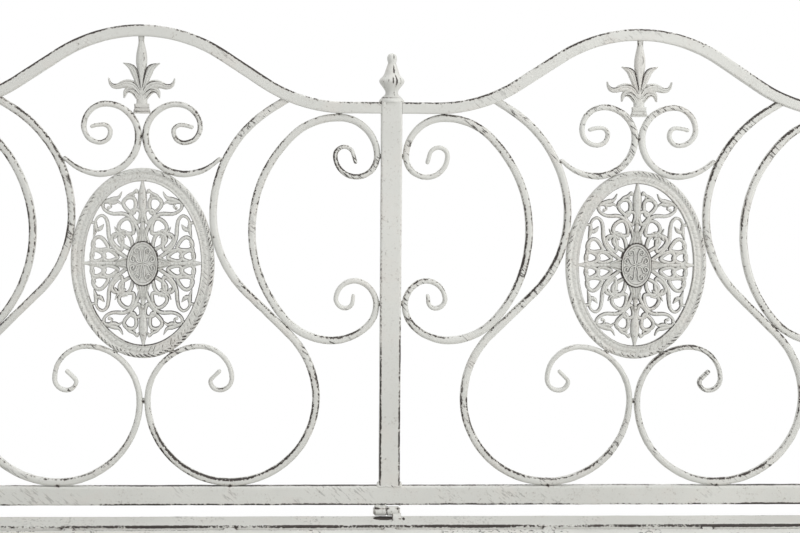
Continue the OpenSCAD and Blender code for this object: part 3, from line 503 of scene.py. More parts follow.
# Rails and posts of the back
def straight(shape, a, b, across, w, d, section):
    """A tube between two places; across is the direction of its width."""
    a, b, across = Vector(a), Vector(b), Vector(across).normalized()
    along = (b - a).normalized()
    out = along.cross(across)
    place = lambda x, y, n: a + along * x + across * y + out * n
    shape.sweep(line(0, 0, (b - a).length, 0), place, w, d, section)


def part(name, body, slot, material, nodes, build, **how):
    shape = Shape()
    build(shape)
    return shape.make(name, body, slot, material, nodes, **how)


TUBE = bar_section(1.5)
part("rail_lower", "frame", "paint", RAIL, ["lower_rail"], lambda s: s.sweep(
    line(-INNER, -10, INNER, -10, 5), on_back(0, 0, MID), 20, 12, rail_section, ends="flat"), rough=0.22)


def post_centre(s):
    s.sweep(line(0, 0, 0, SHOULDER, 5), on_back(0, 0, -POST / 2), POST, POST,
            bar_section(1.4, (1.06, 0.98, 0.8, 0.8)))
    # Hands and feet rub the lower half more
    worn = lambda z: np.interp(z, (480, 600, 700, 870), (1.05, 0.86, 0.66, 0.5))
    s.edge = [e * worn(p.z) for p, e in zip(s.co, s.edge)]


part("post_centre", "frame", "paint", POST_PAINT, ["centre_post"], post_centre)

HALF_ARCH = [(37.06, 0), (155, 33), (51.39, 0), (155, -33)]
ARCH = trail(-249, 401, 0, HALF_ARCH + HALF_ARCH[::-1])
for side, word in ((-1, "left"), (1, "right")):
    part("rail_top_" + word, "frame", "paint", RAIL, ["top_rail_" + word], lambda s: s.sweep(
        ARCH, on_back(side * HALF_BAY, 0, MID), TOP_BAR, TOP_BAR, bar_section(1.2, (1.2, 0.6, 0.55, 1.0)),
        ends="flat"))

LEG = trail(BASE_Y + SHOULDER * math.sin(LEAN) + POST / 2 * math.cos(LEAN),
            BASE_Z + SHOULDER * math.cos(LEAN) - POST / 2 * math.sin(LEAN), -102,
            [(483, 0), (120, 24), (343, 0)])
FOOT = 5.0                             # height of the plastic feet
END_POINTS = 48                        # points of the two rings that close the end of a tube


def rear_leg(s, x):
    s.sweep(LEG, on_side(x), POST, POST, bar_section(1.4, (1, 1.1, 1.1, 1)))
    # The foot is cut level with the floor
    along = Vector((0, math.cos(math.radians(-78)), math.sin(math.radians(-78))))
    for i in range(len(s.co) - END_POINTS, len(s.co)):
        s.co[i] = s.co[i] + along * ((FOOT - s.co[i].z) / along.z)


for side, word in ((-1, "left"), (1, "right")):
    part("leg_rear_" + word, "frame", "paint", PAINT, ["rear_leg_" + word],
         lambda s: rear_leg(s, side * SIDE_X))

# Scrolls
LYRE = two_way(91.15, 4.15, 0,
               [(87, -90), (60, -50), (52, -40), (34, -90), (12.5, -90), (10.5, -70), (5, -65), (11, 0)],
               [(90.5, 90), (95, 45.6), (62.58, 0), (116, -45.6), (130, -58), (22, 0)])
C_SCROLL = stretch(two_way(-40.5, 0, 180, [(40.5, -90), (22, -180), (9.5, -165), (9, 0)],
                           [(70, 45), (141.5, 86.4), (66, 48.6), (52.8, 45), (31.7, 45), (27, 60), (19, 50),
                            (20.5, 60), (10.5, 100), (7.5, 85), (6, 0)]), 244.85, 390.85, 0.995534, 0.993188)
HEART = two_way(3.65, 370.246, 90, [(39.5, 90), (50, 44), (16, -10.6)],
                [(33, -90), (23.5, -90), (16.5, -90), (11, -90), (7.5, -90), (30, -22)])
BAR = bar_section(2.5, (1.05, 1.05, 0.85, 0.85), 0.62)
for k in (1, 2, 3, 4):
    place = quarter(k)
    for word, path, width, rain, rough in (
            ("lyre", LYRE, tapered(LYRE, 8, 4, 330, 0), 0.5, 0.3),
            ("c", C_SCROLL, tapered(C_SCROLL, 8, 4, 170, 170), 0.42, 0.3),
            ("heart", HEART, tapered(HEART, 7, 4, 40, 150), 0.5, 0.32)):
        part("scroll_%s_%d" % (word, k), "frame", "paint", PAINT, ["%s_scroll_%d" % (word, k)],
             lambda s: s.sweep(path, place, width, 8, BAR, ends="round", rain=rain), rough=rough)

# Medallions
RIBBONS = (  # one quarter of the lace: points, width, width of the tip
    ([(2.5, 24), (4, 33), (8, 42), (13, 48.5), (20, 52), (31, 52), (38, 55), (41.3, 60), (38.5, 64.3),
      (34, 63), (32.5, 59.3), (35.3, 57.8)], 4.2, 1.8),
    ([(39.5, 64), (32, 66.8), (25, 69), (21.5, 75)], 5.0, 0.9),
    ([(36, 64.2), (30, 63.6), (25.6, 64.6), (21.6, 61.6)], 4.2, 0.9),
    ([(40.5, 60), (44, 63.5), (46.5, 66.5)], 3.2, 2.6),
    ([(14, 4), (24, 11), (31.5, 19), (35, 28), (35.8, 38), (37.5, 46), (42, 50), (47, 47.5), (49.3, 41.5),
      (47.5, 36), (44, 35.5)], 4.2, 1.8),
    ([(49, 41), (49, 35), (51.2, 27.5)], 4.4, 0.9),
    ([(47.6, 35), (44, 36.4), (40.6, 40.6)], 4.4, 0.9),
    ([(48.6, 42), (52, 42.8), (57, 43.6)], 3.2, 2.4),
    ([(18.5, 27.5), (24, 31.6), (27, 34), (29, 38)], 3.2, 1.0),
    ([(29, 26.5), (25.5, 31.6), (20.5, 34.6), (17, 33.2)], 3.2, 1.2),
    ([(18.6, 65), (15, 70.6), (9.6, 73.6), (6.3, 77), (5, 74)], 3.4, 1.8),
    ([(50, 20), (52.8, 14), (51.4, 8), (54, 3.6)], 2.8, 1.6),
    ([(22, 9), (30, 13.5), (38, 15), (44, 13.4)], 2.8, 1.6),
)
DROPS = (  # loops: middle, half length, half width, bearing of the narrow end
    (12.6, 60.5, 8.6, 5.9, -108), (6.6, 49.6, 7.0, 4.9, -104), (16, 37.8, 8.6, 7.2, -135),
    (16.4, 22.4, 9.6, 5.4, -125), (25.6, 22.4, 8.8, 4.9, -112), (43.6, 19.6, 8.4, 6.2, 205),
    (33.6, 7.6, 7.6, 5.2, 190), (46.6, 7.6, 7.0, 5.4, 184))
KNOBS = (  # place and radius
    (6.3, 75.4, 2.0), (35.2, 58, 1.8), (44.2, 35.8, 1.8), (9, 71, 1.5), (53.8, 3.8, 1.6), (17, 33.2, 1.5),
    (22.6, 51.6, 1.6), (50, 22.5, 1.5))
BAND_FRONT = (  # the ring's front from its rim inward: distance, height, wear
    (0.0, -1.5, 0.3), (0.0, 0.8, 0.4), (0.3, 2.1, 0.35), (0.9, 3.0, 0.2), (1.7, 3.6, 0.1), (2.6, 3.9, 0.1),
    (3.5, 3.8, 0.1), (4.4, 3.4, 0.15), (5.2, 2.9, 0.3), (6.0, 2.6, 0.45), (6.8, 2.8, 0.2), (7.7, 3.1, 0.1),
    (8.6, 3.2, 0.1), (9.6, 3.2, 0.1), (10.5, 3.0, 0.15), (11.3, 2.7, 0.3), (12.0, 3.2, 0.2),
    (12.9, 3.7, 0.3), (13.5, 3.2, 0.75), (14.0, 1.8, 1.1))
BAND_BEHIND = ((14.0, -2.0, 0.4), (13.2, -3.6, 0.3), (9.5, -3.3, 0.1), (5.0, -2.9, 0.3), (2.5, -3.9, 0.2),
               (0.6, -3.0, 0.3))
NOTCH_STEP = 5.42                      # distance between the notches of the rope rim
BOSS_A, BOSS_B = 16, 23                # half width and half height of the boss
BOSS = (  # the boss from its middle out: share of its size, height, wear
    (0.05, 3.3, 0.1), (0.3, 3.3, 0.1), (0.55, 3.1, 0.1), (0.72, 2.9, 0.2), (0.78, 2.8, 0.5),
    (0.815, 3.9, 0.1), (0.85, 3.9, 0.1), (0.885, 3.0, 0.8), (0.92, 4.6, 0.1), (0.965, 4.8, 0.1),
    (1.0, 4.3, 1.6), (1.04, 3.6, 1.9), (1.06, 2.0, 1.5), (1.07, -3.5, 0.2), (0.9, -4.0, 0.2),
    (0.1, -4.2, 0.1))
BOSS_CURLS = (
    [(0.8, 2), (2.0, 7), (1.9, 11), (3.2, 15.6), (6.4, 16.2), (8.0, 13.2), (6.4, 10.8), (4.8, 12)],
    [(2, 1), (5.6, 2.4), (7.6, 7.2), (10.8, 8.0), (12.8, 4.8), (10.8, 2.1), (8.8, 3.0), (9.6, 4.8)])


def drop(x, y, long, wide, bearing, n=22):
    """A closed loop, drawn out to a narrow end."""
    turn = math.radians(bearing)
    out = []
    for k in range(n):
        a = 2 * math.pi * k / n
        p, q = long * math.cos(a), wide * math.sin(a) * (1 - 0.5 * math.cos(a))
        dp, dq = -long * math.sin(a), wide * (math.cos(a) - 0.5 * math.cos(2 * a))
        out.append((x + p * math.cos(turn) - q * math.sin(turn),
                    y + p * math.sin(turn) + q * math.cos(turn), turn + math.atan2(dq, dp), float(k)))
    return out


def medal_ring(s, place, seed):
    """A flat band with a rope rim: two rows of slanting notches, deeper on one side."""
    count, rows, far, was = 720, [], 0.0, None
    for i in range(count):
        a = 2 * math.pi * i / count
        here = Vector((MEDAL_A * math.cos(a), MEDAL_B * math.sin(a)))
        far += (here - was).length if was else 0.0
        was = here
        wander = noise.noise(Vector((2.2 * math.cos(a), 2.2 * math.sin(a), seed)))
        strong = max(0.6, min(1.0, 0.85 + 0.2 * math.cos(a + 0.35) + 1.0 * wander))
        row = []
        for t, n, e in BAND_FRONT + BAND_BEHIND:
            if n > 0.9 and 0.2 < t < 12.6:
                outer = t < 5
                slant = far + 1.7 * t if outer else far - 0.8 * t + 2.2
                notch = max(0.0, math.cos(2 * math.pi * slant / NOTCH_STEP)) ** 4
                notch *= max(0.1, min(1.0, 0.72 + 1.7 * noise.noise(Vector((far / 5, t / 3, seed + 7)))))
                across = math.sin(math.pi * (t / 5 if outer else (t - 5) / 7.7)) ** 0.7
                n -= 1.6 * notch * across * (1.0 if outer else 0.35) * (0.3 + 0.7 * strong)
                e = max(e, (3.4 if outer else 1.1) * notch * across * strong)
            row.append((place((MEDAL_A - t) * math.cos(a), (MEDAL_B - t) * math.sin(a), n), e))
        rows.append(row)
    s.skin(rows, loop=True)


def medal_boss(s, place):
    turns = [2 * math.pi * j / 48 for j in range(48)]
    s.skin([[(place(BOSS_A * rho * math.cos(a), BOSS_B * rho * math.sin(a), n), e) for a in turns]
            for rho, n, e in BOSS])


def weather(s, u0):
    """The left casting is worn most at its lower right, the right one along its middle."""
    for i, p in enumerate(s.co):
        x, y = p.x - u0, (p.z - BASE_Z) / math.cos(LEAN) - MEDAL_UP
        more = 0.5 * max(-0.5, min(1.0, (x - y) / 90)) if u0 < 0 else 0.35 * max(-0.3, 1 - abs(x) / 34)
        s.edge[i] *= 1 + more


def medallion(s, u0):
    medal_ring(s, on_back(u0, MEDAL_UP, MID), u0 / 99)
    medal_boss(s, on_back(u0, MEDAL_UP, MID))
    ribbon, blade = relief_section(-2.5, 3.0), blade_section(-2.5, 3.2, 0.1)
    for sx in (-1, 1):
        for sy in (-1, 1):
            place = on_back(u0, MEDAL_UP, MID, sx, sy)
            for points, w, tip in RIBBONS:
                width = lambda t: tip + (w - tip) * min(1, t / 0.15 + 0.5, (1 - t) / 0.5)
                s.sweep(hand(points), place, width, 1.0, ribbon, ends="round")
            for x, y, long, wide, bearing in DROPS:
                s.sweep(drop(x, y, long, wide, bearing), place, 4.0, 0.92, ribbon, loop=True)
            for i, (x, y, r) in enumerate(KNOBS):
                s.blob(place(x, y, 1.4), r, r, r * 1.1, i * 3.1 + sx + 5 * sy, 0.25)
            for points in BOSS_CURLS:
                s.sweep(hand(points, 4), place, 2.3, 1.0, curl_section, 3.0, ends="round")
    for sy in (-1, 1):
        place = on_back(u0, MEDAL_UP, MID, 1, sy)
        width = lambda t: np.interp(t, (0, 0.12, 0.22, 0.30, 0.38, 0.47, 0.56, 0.72, 0.80, 0.9, 1.0),
                                    (16, 10.5, 6.0, 4.4, 3.2, 3.2, 8.4, 9.4, 8.4, 4.4, 2.0))
        s.sweep(line(0, 21, 0, 88, 1.5), place, width, 1.0, blade, ends="flat")
        s.blob(place(0, 45.6, 2.3), 2.2, 1.8, 2.2, 1.5, 0.2)
        s.sweep(around(0, 45.6, 2.5, 14), place, 0.8, 1.0, relief_section(1, 3.9), loop=True)
        for k in (-2, -1, 0, 1, 2):
            s.sweep(line(3.1 * k, 22.5, 1.1 * k, 36, 2), place, lambda t: 2.6 - 1.5 * t, 1.0,
                    blade_section(-2, 3.7), ends="round")
    for sx in (-1, 1):
        place = on_back(u0, MEDAL_UP, MID, sx, 1)
        width = lambda t: np.interp(t, (0, 0.15, 0.3, 0.42, 0.55, 0.7, 0.8, 0.9, 1.0),
                                    (13.5, 8.5, 4.6, 3.4, 4.6, 5.0, 6.6, 3.6, 2.2))
        s.sweep(line(15, 0, 63, 0, 1.5), place, width, 1.0, blade, ends="flat")
        for x, r in ((30, 1.8), (34, 1.5), (38, 1.7), (47.5, 2.0), (53, 2.3)):
            s.blob(place(x, 0, 2.2), r, 1.5, r, x, 0.3)
        for k in (-2, -1, 0, 1, 2):
            s.sweep(line(16, 3.1 * k, 27.5, 1.0 * k, 2), place, lambda t: 2.6 - 1.5 * t, 1.0,
                    blade_section(-2, 3.7), ends="round")
    weather(s, u0)


for side, word in ((-1, "left"), (1, "right")):
    part("medallion_cast_" + word, "frame", "casting", CAST, ["medallion_" + word],
         lambda s: medallion(s, side * HALF_BAY), rough=0.14, wave=4.0)

# Lilies
LEAVES = (  # points, half widths along the leaf, height of the relief
    ([(2.6, 26), (4.8, 33), (7.6, 40), (11.6, 45.6), (18.6, 49.0)], (2.2, 3.0, 3.6, 2.8, 0.5), 3.2),
    ([(2.2, 20), (6.5, 25.6), (12.5, 28.4), (19, 28.2), (25, 26.2), (29.6, 26.4), (32.6, 29.6), (34, 34)],
     (2.8, 4.2, 4.5, 4.3, 3.3, 2.4, 1.6, 0.5), 3.6),
    ([(4.2, 16.2), (8.0, 21.4), (12.8, 23.0), (16.6, 21.0), (18.3, 15.4)], (2.8, 3.4, 3.2, 2.3, 0.7), 3.2),
)
CREASES = (  # dark lines in the casting, painted shade along its grooves
    [(0.8, 25), (2.4, 33), (4.6, 42), (7.4, 46.2), (11.5, 48.2), (16.5, 48.8)],
    [(1.6, 22.5), (5.5, 28), (11, 31), (17.5, 30.6), (24, 28.6), (29.6, 28.6), (33.2, 32)],
    [(1.2, 17.5), (4.8, 21), (9, 23.6), (14.5, 23.4)],
    [(5.2, 15.4), (8.6, 19.8), (12.4, 21.4), (15.6, 20.0)],
)


def lily(s, u0):
    for sx in (-1, 1):
        flat = on_back(u0, LILY_LOW, MID, sx)
        place = lambda x, y, n: flat(x, y * LILY_TALL, n)
        for points, halves, high in LEAVES:
            path = hand(points, 6)
            knots = np.linspace(0, 1, len(halves))
            s.sweep(path, place, lambda t: 2 * np.interp(t, knots, halves), 1.0,
                    blade_section(-3, high, 0.32), ends="round")
        for points in CREASES:
            path = hand(points, 5)
            width = lambda t: 1.25 * math.sin(math.pi * (0.12 + 0.8 * t))
            s.sweep(path, lambda x, y, n: place(x, y, n + 3.35 - 0.02 * x), width, 1.0,
                    crease_section(-0.5, 1.4), ends="flat")
    flat = on_back(u0, LILY_LOW, MID)
    place = lambda x, y, n: flat(x, y * LILY_TALL, n)
    stem = lambda t: np.interp(t, (0, 0.15, 0.45, 0.7, 1), (12, 10.8, 11.4, 8.4, 2.6))
    s.sweep(line(0, 7.6, 0, 30, 1.6), place, stem, 1.0, blade_section(-3, 3.2, 0.1), ends="flat")
    spear = lambda t: np.interp(t, (0, 0.2, 0.44, 0.56, 0.68, 0.78, 0.88, 1),
                                (2.2, 5, 9.6, 11.4, 11.2, 9.8, 7.6, 5.4))
    s.sweep(line(0, 23, 0, 70.5, 1.6), place, spear, 1.0, blade_section(-3, 3.7, 0.12), ends="flat")
    # Hollow of the spear, with painted shade on one side
    s.sweep(hand([(1.2, 61), (-1.8, 56), (-1.2, 51), (1.6, 50), (3.0, 54), (2.4, 59), (1.0, 61.4)], 4),
            lambda x, y, n: place(x, y, n + 3.3), lambda t: 0.5 + 0.5 * (t > 0.55), 1.0,
            crease_section(-0.6, 1.3), ends="flat")
    s.sweep(line(0, 69, 0, 75, 2), place, lambda t: 5.4 + 0.6 * t, 5.4, bar_section(0.8), ends="flat")
    collar = lambda t: np.interp(t, (0, 0.3, 0.55, 0.8, 1), (17.6, 17.0, 14.8, 15.0, 15.6))
    s.sweep(line(0, 0.2, 0, 8.9, 1.1), place, collar, 6.0, bar_section(1.0, (0.8, 0.8, 0.8, 0.8)))
    for y, wide in ((2.0, 16.2), (5.6, 14.6)):
        s.sweep(line(-wide / 2, y, wide / 2, y, 1.4), place, 0.9, 7.2, bar_section(0.3, (1.08, 1.08, 1, 1)))


for side, word in ((-1, "left"), (1, "right")):
    part("lily_cast_" + word, "frame", "casting", LILY, ["lily_" + word],
         lambda s: lily(s, side * HALF_BAY), rough=0.14)

# Finials
FINIAL = (  # radius, height, wear
    (13.0, 0.0, 0.2), (13.2, 0.6, 0.3), (13.0, 1.6, 0.3), (12.2, 2.9, 0.3), (11.0, 4.2, 0.9),
    (10.3, 4.8, 1.3), (9.4, 5.6, 0.6), (7.9, 6.8, 0.2), (6.9, 8.3, 0.2), (6.5, 9.9, 0.3), (6.9, 11.8, 0.2),
    (8.4, 14.2, 0.2),
    (9.9, 16.0, 0.2), (11.2, 17.7, 0.3), (12.3, 19.3, 0.3), (13.0, 20.6, 0.3), (13.2, 22.0, 0.4),
    (12.8, 23.4, 0.3), (11.6, 24.9, 0.3), (9.9, 26.4, 0.2), (8.8, 27.8, 0.2), (7.9, 29.4, 0.2),
    (7.2, 31.6, 0.2), (6.5, 33.8, 0.2), (5.7, 36.2, 0.2), (4.9, 38.6, 0.3), (4.2, 40.6, 0.8),
    (4.4, 41.6, 0.5), (4.9, 43.2, 0.2), (5.2, 45.4, 0.2), (4.9, 47.4, 0.2), (4.0, 49.2, 0.3),
    (2.6, 50.4, 0.5), (1.0, 50.9, 0.5))
GASHES = (  # worn lines of a finial: bearing from its right side, bottom, top, width, strength
    (1.18, 14.5, 29.5, 0.085, 2.6), (0.78, 17, 27, 0.07, 2.2), (1.48, 18, 27.5, 0.07, 2.2),
    (1.85, 20, 25, 0.06, 1.5), (1.22, 6, 13, 0.09, 2.3), (1.28, 29, 40, 0.16, 2.3), (1.2, 43, 50, 0.2, 2.2),
    (2.5, 17, 27, 0.07, 0.9), (3.6, 16, 27, 0.08, 1.8), (4.6, 17, 30, 0.07, 1.9), (5.6, 15, 27, 0.08, 1.5))
BULB_Y, BULB_HALF, FLUTES = 21.5, 8.5, 9


def fluted(r, y, a, e):
    """The bulb has shallow flutes with a little painted shade in their grooves, and a few lines worn dark.
    """
    depth = max(0.0, 1 - abs(y - BULB_Y) / BULB_HALF)
    groove = max(0.0, math.cos(FLUTES * a + 0.4)) ** 6
    for at, low, high, wide, strength in GASHES:
        if low < y < high:
            along = math.sin(math.pi * (y - low) / (high - low)) ** 0.5
            e = max(e, strength * along * math.exp(-((a - at) / wide) ** 2))
    return r - 0.4 * depth * groove, max(e * 0.9, 0.55 * depth * groove)


for x, word in ((-SIDE_X, "left"), (0.0, "centre"), (SIDE_X, "right")):
    part("finial_cast_" + word, "frame", "casting", TURNED, ["finial_" + word],
         lambda s: s.lathe(FINIAL, on_back(x, SHOULDER, -POST / 2), 108, fluted), rough=0.12)

# Hinges
HINGE_HALF = 13                        # half the length of a hinge
CLEAR = 0.15                           # half the gap between its two halves


def barrel(s, x0, x1):
    long = x1 - x0
    place = lambda p, y, q: Vector((x0 + y, AXIS_Y + p, AXIS_Z + q))
    s.lathe([(2.6, 0.0, 0.3), (4.2, 0.0, 0.7), (4.9, 0.7, 1.0), (5.0, 1.6, 0.2), (5.0, long / 2, 0.1),
             (5.0, long - 1.6, 0.2), (4.9, long - 0.7, 1.0), (4.2, long, 0.7), (2.6, long, 0.3)], place, 36)


def back_knuckles(s):
    for x in HINGES:
        barrel(s, x - HINGE_HALF, x - CLEAR)
        for i in range(7):
            v = -21.2 + 0.6 * math.sin(5 * i + x)
            s.blob(back(x - 11.6 + 1.75 * i, v, -0.6), 1.5, 2.6, 1.9, x + i, 0.45)
        s.sweep(line(x - 12, -22.6, x - 1, -22.6, 2), on_back(0, 0, -3), 4.2, 6.4, bar_section(0.9))


def seat_knuckles(s):
    for x in HINGES:
        barrel(s, x + CLEAR, x + HINGE_HALF)
        # A foot runs from the barrel onto the top of the rail
        path = hand([(-4.2, -1.2), (-5.2, -2.6), (-6.6, -3.7), (-9.2, -4.4), (-14.5, -4.6)], 4)
        path = [(AXIS_Y + a, AXIS_Z + b, h, d) for a, b, h, d in path]
        s.sweep(path, on_side(x + 10.6), 1.7, 9.4, bar_section(0.5, (0.8, 0.8, 1, 1)))
        s.sweep(line(AXIS_Y - 4.5, AXIS_Z - 2.7, AXIS_Y - 4.5, AXIS_Z - 5.4, 1), on_side(x + 10.6), 2.4, 9,
                bar_section(0.4))
        for i in range(5):
            s.blob(Vector((x + 6.2 + 2.1 * i, AXIS_Y - 15, SEAT_TOP + 0.1)), 1.3, 1.5, 0.9, x + 2 * i, 0.5)
        # Painted shadow: a flat dark patch on the rail under the barrel, and a small dark mark beside the
        # foot
        s.blob(Vector((x - 3.5, AXIS_Y - 6.5, SEAT_TOP)), 11.5, 5.2, 0.3, x, 3.0)
        s.blob(Vector((x + 18, AXIS_Y - 8, SEAT_TOP)), 1.4, 3.6, 0.25, x + 5, 2.5)


part("hinge_back", "frame", "paint", RAIL, ["back_hinge_knuckles"], back_knuckles, rough=0.1, wave=3.0)
part("hinge_seat", "seat", "paint", RAIL, ["seat_hinge_knuckles"], seat_knuckles, rough=0.1, wave=3.0)

# Welds on the back
WELDED = (  # where the bars of half a bay meet
    (91, 0.4), (0, 91), (30, 143), (74, 266), (0, 370), (26, 333), (83, 345), (151, 170), (151, 411),
    (205, 395), (248.6, 350), (248.6, 195))


def welds(s):
    for i in range(13):
        u = -11.4 + 1.9 * i
        s.blob(back(u, 0.3 + 0.4 * math.sin(5 * i), -0.9), 1.7, 1.4, 1.7, i, 0.1)
    for x in (-SIDE_X, 0, SIDE_X):
        for way in (-1, 1):
            if abs(x + way * POST / 2) > SIDE_X:
                continue
            for v, tall in ((1.0, 2.6), (-19.0, 1.8)):
                s.blob(back(x + way * 11.6, v, -3.0), 2.2, 3.0, tall, x + v, 0.35)
                s.blob(back(x + way * 11.4, v, -9.5), 2.0, 3.0, tall, x + v + 3, 0.35)
    for bay in (-HALF_BAY, HALF_BAY):
        for way in (-1, 1):
            for u, v in WELDED:
                if u == 0 and way < 0:
                    continue
                s.blob(back(bay + way * u, v, -9.4), 3.4, 2.0, 3.0, bay + u + v, 0.35)
                s.blob(back(bay + way * u, v, -4.4), 1.8, 2.0, 1.8, bay + u - v, 0.5)


part("weld_beads", "frame", "paint", PAINT, [], welds, rough=0.1, wave=3.0)

# Side frames
UPPER = lambda z, n: BASE_Y + (z - BASE_Z) * math.tan(LEAN) - n / math.cos(LEAN)
LOWER = lambda z, n: KNEE_Y + (KNEE_Z - z) * math.tan(LEAN) - (POST / 2 + n) / math.cos(LEAN)
ARM_Z = 636
ARM = trail(UPPER(ARM_Z, 4), ARM_Z, 180,
            [(UPPER(ARM_Z, 4) + 238.721, 0), (42, 90), (32, 90), (22, 90), (13, 150), (8, 0)])
ARM_K = 1.11064
ARM_TURNS = ((220, 35), (75, 100), (38, 120), (20, 120), (10, 60))
ARM_SCROLL_Y = (FRONT_LEG_Y + POST / 2 + UPPER(SEAT_TOP + 96, 0)) / 2
ARM_SCROLL = two_way(ARM_SCROLL_Y, 627.85, 0, [(r * ARM_K, t) for r, t in ARM_TURNS],
                     [(r * ARM_K, -t) for r, t in ARM_TURNS])
SIDE_RAIL_Z, STRETCHER_Z, FRONT_RAIL_Z = 429, 140, 403.7
for side, word in ((-1, "left"), (1, "right")):
    x = side * SIDE_X
    y = FRONT_LEG_Y + POST / 2
    part("leg_front_" + word, "frame", "paint", PAINT, ["front_leg_" + word], lambda s: straight(
        s, (x, FRONT_LEG_Y, FOOT), (x, FRONT_LEG_Y, ARM_Z - 4), (1, 0, 0), POST, POST, TUBE))
    part("arm_bar_" + word, "frame", "paint", RAIL, ["arm_" + word], lambda s: s.sweep(
        ARM, on_side(x), tapered(ARM, 8, 4, 0, 250), 26, bar_section(1.6), ends="round"), rough=0.22)
    part("rail_side_" + word, "frame", "paint", PAINT, ["side_rail_" + word], lambda s: straight(
        s, (x, y, SIDE_RAIL_Z), (x, UPPER(SIDE_RAIL_Z, 4), SIDE_RAIL_Z), (0, 0, 1), POST, POST, TUBE))
    part("stretcher_side_" + word, "frame", "paint", PAINT, ["side_stretcher_" + word], lambda s: straight(
        s, (x, y, STRETCHER_Z), (x, LOWER(STRETCHER_Z, 4), STRETCHER_Z), (0, 0, 1), POST, POST, TUBE))
    part("scroll_arm_" + word, "frame", "paint", PAINT, ["arm_scroll_" + word], lambda s: s.sweep(
        ARM_SCROLL, on_side(x), tapered(ARM_SCROLL, 8, 4, 220, 220), 8, bar_section(0.9), ends="round"),
        rough=0.28)
part("rail_front", "frame", "paint", PAINT, ["front_rail"], lambda s: straight(
    s, (-INNER, FRONT_LEG_Y, FRONT_RAIL_Z), (INNER, FRONT_LEG_Y, FRONT_RAIL_Z), (0, 0, 1),
    POST, POST, TUBE))
REAR_Y = LOWER(STRETCHER_Z, -POST / 2)
part("stretcher_rear", "frame", "paint", PAINT, ["rear_stretcher"], lambda s: straight(
    s, (-INNER, REAR_Y, STRETCHER_Z), (INNER, REAR_Y, STRETCHER_Z), (0, -math.sin(LEAN), math.cos(LEAN)),
    POST, POST, TUBE))

# Seat
SEAT_MID = SEAT_TOP - SEAT_TUBE / 2
SLAT_STEP = 43.75
for y, word in ((AXIS_Y - SEAT_TUBE / 2, "rear"), (SEAT_FRONT + SEAT_TUBE / 2, "front")):
    part("seat_tube_" + word, "seat", "paint", RAIL, ["seat_%s_rail" % word], lambda s: straight(
        s, (-SEAT_HALF, y, SEAT_MID), (SEAT_HALF, y, SEAT_MID), (0, 0, 1), SEAT_TUBE, SEAT_TUBE,
        bar_section(1.5, (1.2, 1.0, 0.9, 0.6))), rough=0.2)
Y0, Y1 = SEAT_FRONT + SEAT_TUBE, AXIS_Y - SEAT_TUBE
for side, word in ((-1, "left"), (1, "right")):
    x = side * (SEAT_HALF - SEAT_TUBE / 2)
    part("seat_tube_" + word, "seat", "paint", PAINT, ["seat_side_rail_" + word], lambda s: straight(
        s, (x, Y0, SEAT_MID), (x, Y1, SEAT_MID), (1, 0, 0), SEAT_TUBE, SEAT_TUBE, TUBE))


def cross_bars(s):
    for k in range(1, 6):
        x = -SEAT_HALF + CROSS_STEP * k
        straight(s, (x, Y0, 431), (x, Y1, 431), (1, 0, 0), 14, 14, bar_section(1.2))


part("seat_bars", "seat", "paint", PAINT, ["seat_cross_bars"], cross_bars)
for i in range(1, 9):
    y = Y0 + (i - 0.5) * SLAT_STEP
    part("slat_%d" % i, "seat", "paint", PAINT, ["seat_slat_%d" % i], lambda s: straight(
        s, (-479, y, 439), (479, y, 439), (0, 1, 0), 26, 2.0, bar_section(0.8, (1, 1, 1, 1))), rough=0.2)

# CAD nodes that stay
CARRIED = (("hinge_pins", METAL), ("frame_bolts", METAL), ("cap_nuts", METAL), ("lug_plates", PAINT),
           ("foot_caps", PLASTIC))
for name, material in CARRIED:
    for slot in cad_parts[name].material_slots:
        slot.material = material

# Stage, light and camera
scene = bpy.context.scene


def floor_material():
    g = Graph("pale_floor")
    tree = g.tree
    g.set(g.shader.inputs["Base Color"], srgb(232, 231, 229))
    g.set(g.shader.inputs["Roughness"], 0.8)
    far = g.add("VectorMath", {0: g.place}, operation="LENGTH").outputs["Value"]
    rays = g.add("LightPath")
    seen = g.math("MAXIMUM", rays.outputs["Is Camera Ray"],
                  g.math("MAXIMUM", rays.outputs["Is Glossy Ray"], rays.outputs["Is Transmission Ray"]))
    white = g.add("Emission", {"Color": (1, 1, 1, 1), "Strength": 1.0})
    blend = g.math("MULTIPLY", seen, g.ramp(far, 0.55, 1.15, 0.25, 1.0))
    both = g.add("MixShader", {0: blend, 1: g.shader.outputs[0], 2: white.outputs[0]})
    tree.links.new(both.outputs[0], tree.nodes["Material Output"].inputs["Surface"])
    return g.material


bpy.ops.mesh.primitive_circle_add(vertices=96, radius=2.6, fill_type="NGON", location=(0, 0, 0))
floor = bpy.context.object
floor.name = "floor"
floor.data.materials.append(floor_material())

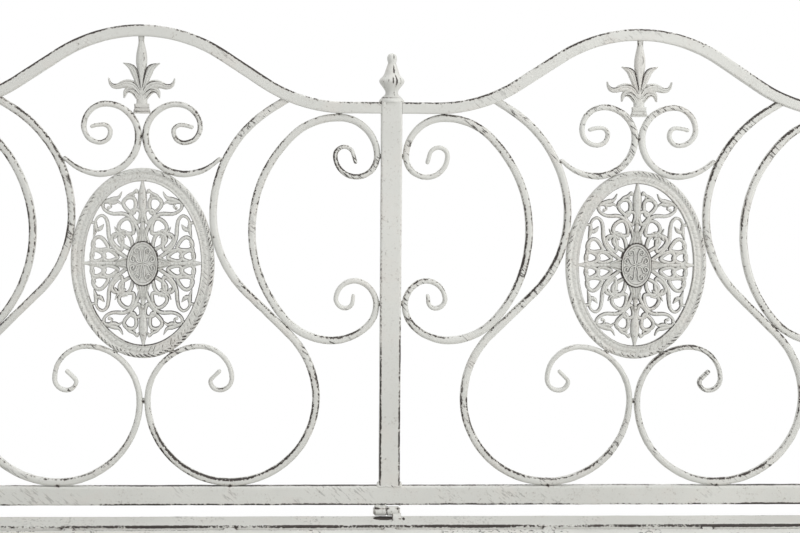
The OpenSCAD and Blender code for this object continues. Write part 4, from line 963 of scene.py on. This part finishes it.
world = bpy.data.worlds.new("studio")
scene.world = world
world.use_nodes = True
tree = world.node_tree
tree.nodes.clear()
rays = tree.nodes.new("ShaderNodeLightPath")
seen = tree.nodes.new("ShaderNodeMath")
seen.operation = "MAXIMUM"
tree.links.new(rays.outputs["Is Camera Ray"], seen.inputs[0])
gloss = tree.nodes.new("ShaderNodeMath")
gloss.operation = "MAXIMUM"
tree.links.new(rays.outputs["Is Glossy Ray"], gloss.inputs[0])
tree.links.new(rays.outputs["Is Transmission Ray"], gloss.inputs[1])
tree.links.new(gloss.outputs[0], seen.inputs[1])
dim = tree.nodes.new("ShaderNodeBackground")
dim.inputs["Color"].default_value = (0.97, 0.985, 1.0, 1)
dim.inputs["Strength"].default_value = 0.53
bright = tree.nodes.new("ShaderNodeBackground")
bright.inputs["Strength"].default_value = 1.0
bright.inputs["Color"].default_value = (1, 1, 1, 1)
mix = tree.nodes.new("ShaderNodeMixShader")
tree.links.new(seen.outputs[0], mix.inputs[0])
tree.links.new(dim.outputs[0], mix.inputs[1])
tree.links.new(bright.outputs[0], mix.inputs[2])
out = tree.nodes.new("ShaderNodeOutputWorld")
tree.links.new(mix.outputs[0], out.inputs["Surface"])


def lamp(name, place, aim, size, power, colour=(1, 1, 1)):
    data = bpy.data.lights.new(name, "AREA")
    data.energy, data.size, data.color = power, size, colour
    obj = bpy.data.objects.new(name, data)
    scene.collection.objects.link(obj)
    obj.location = place
    obj.rotation_euler = (Vector(aim) - Vector(place)).to_track_quat("-Z", "Y").to_euler()


lamp("key", (2.5, -1.3, 1.45), (0, 0, 0.6), 1.6, 45, (1.0, 0.995, 0.975))
lamp("fill", (-1.4, -2.8, 2.0), (0, 0, 0.6), 1.8, 15)
lamp("rim", (0.4, 2.8, 2.4), (0, 0, 0.6), 1.6, 18)
lamp("top", (0.0, 0.2, 2.9), (0, 0.1, 0.5), 1.8, 22)

camera = bpy.data.objects.new("camera", bpy.data.cameras.new("camera"))
scene.collection.objects.link(camera)
scene.camera = camera
camera.data.sensor_width = 36
camera.data.lens = 81
camera.location = (-0.0704957, -1.5764038, 1.2638136)
camera.rotation_euler = [math.radians(a) for a in (72.66192, -0.91413, -2.25440)]

scene.view_settings.view_transform = "Standard"
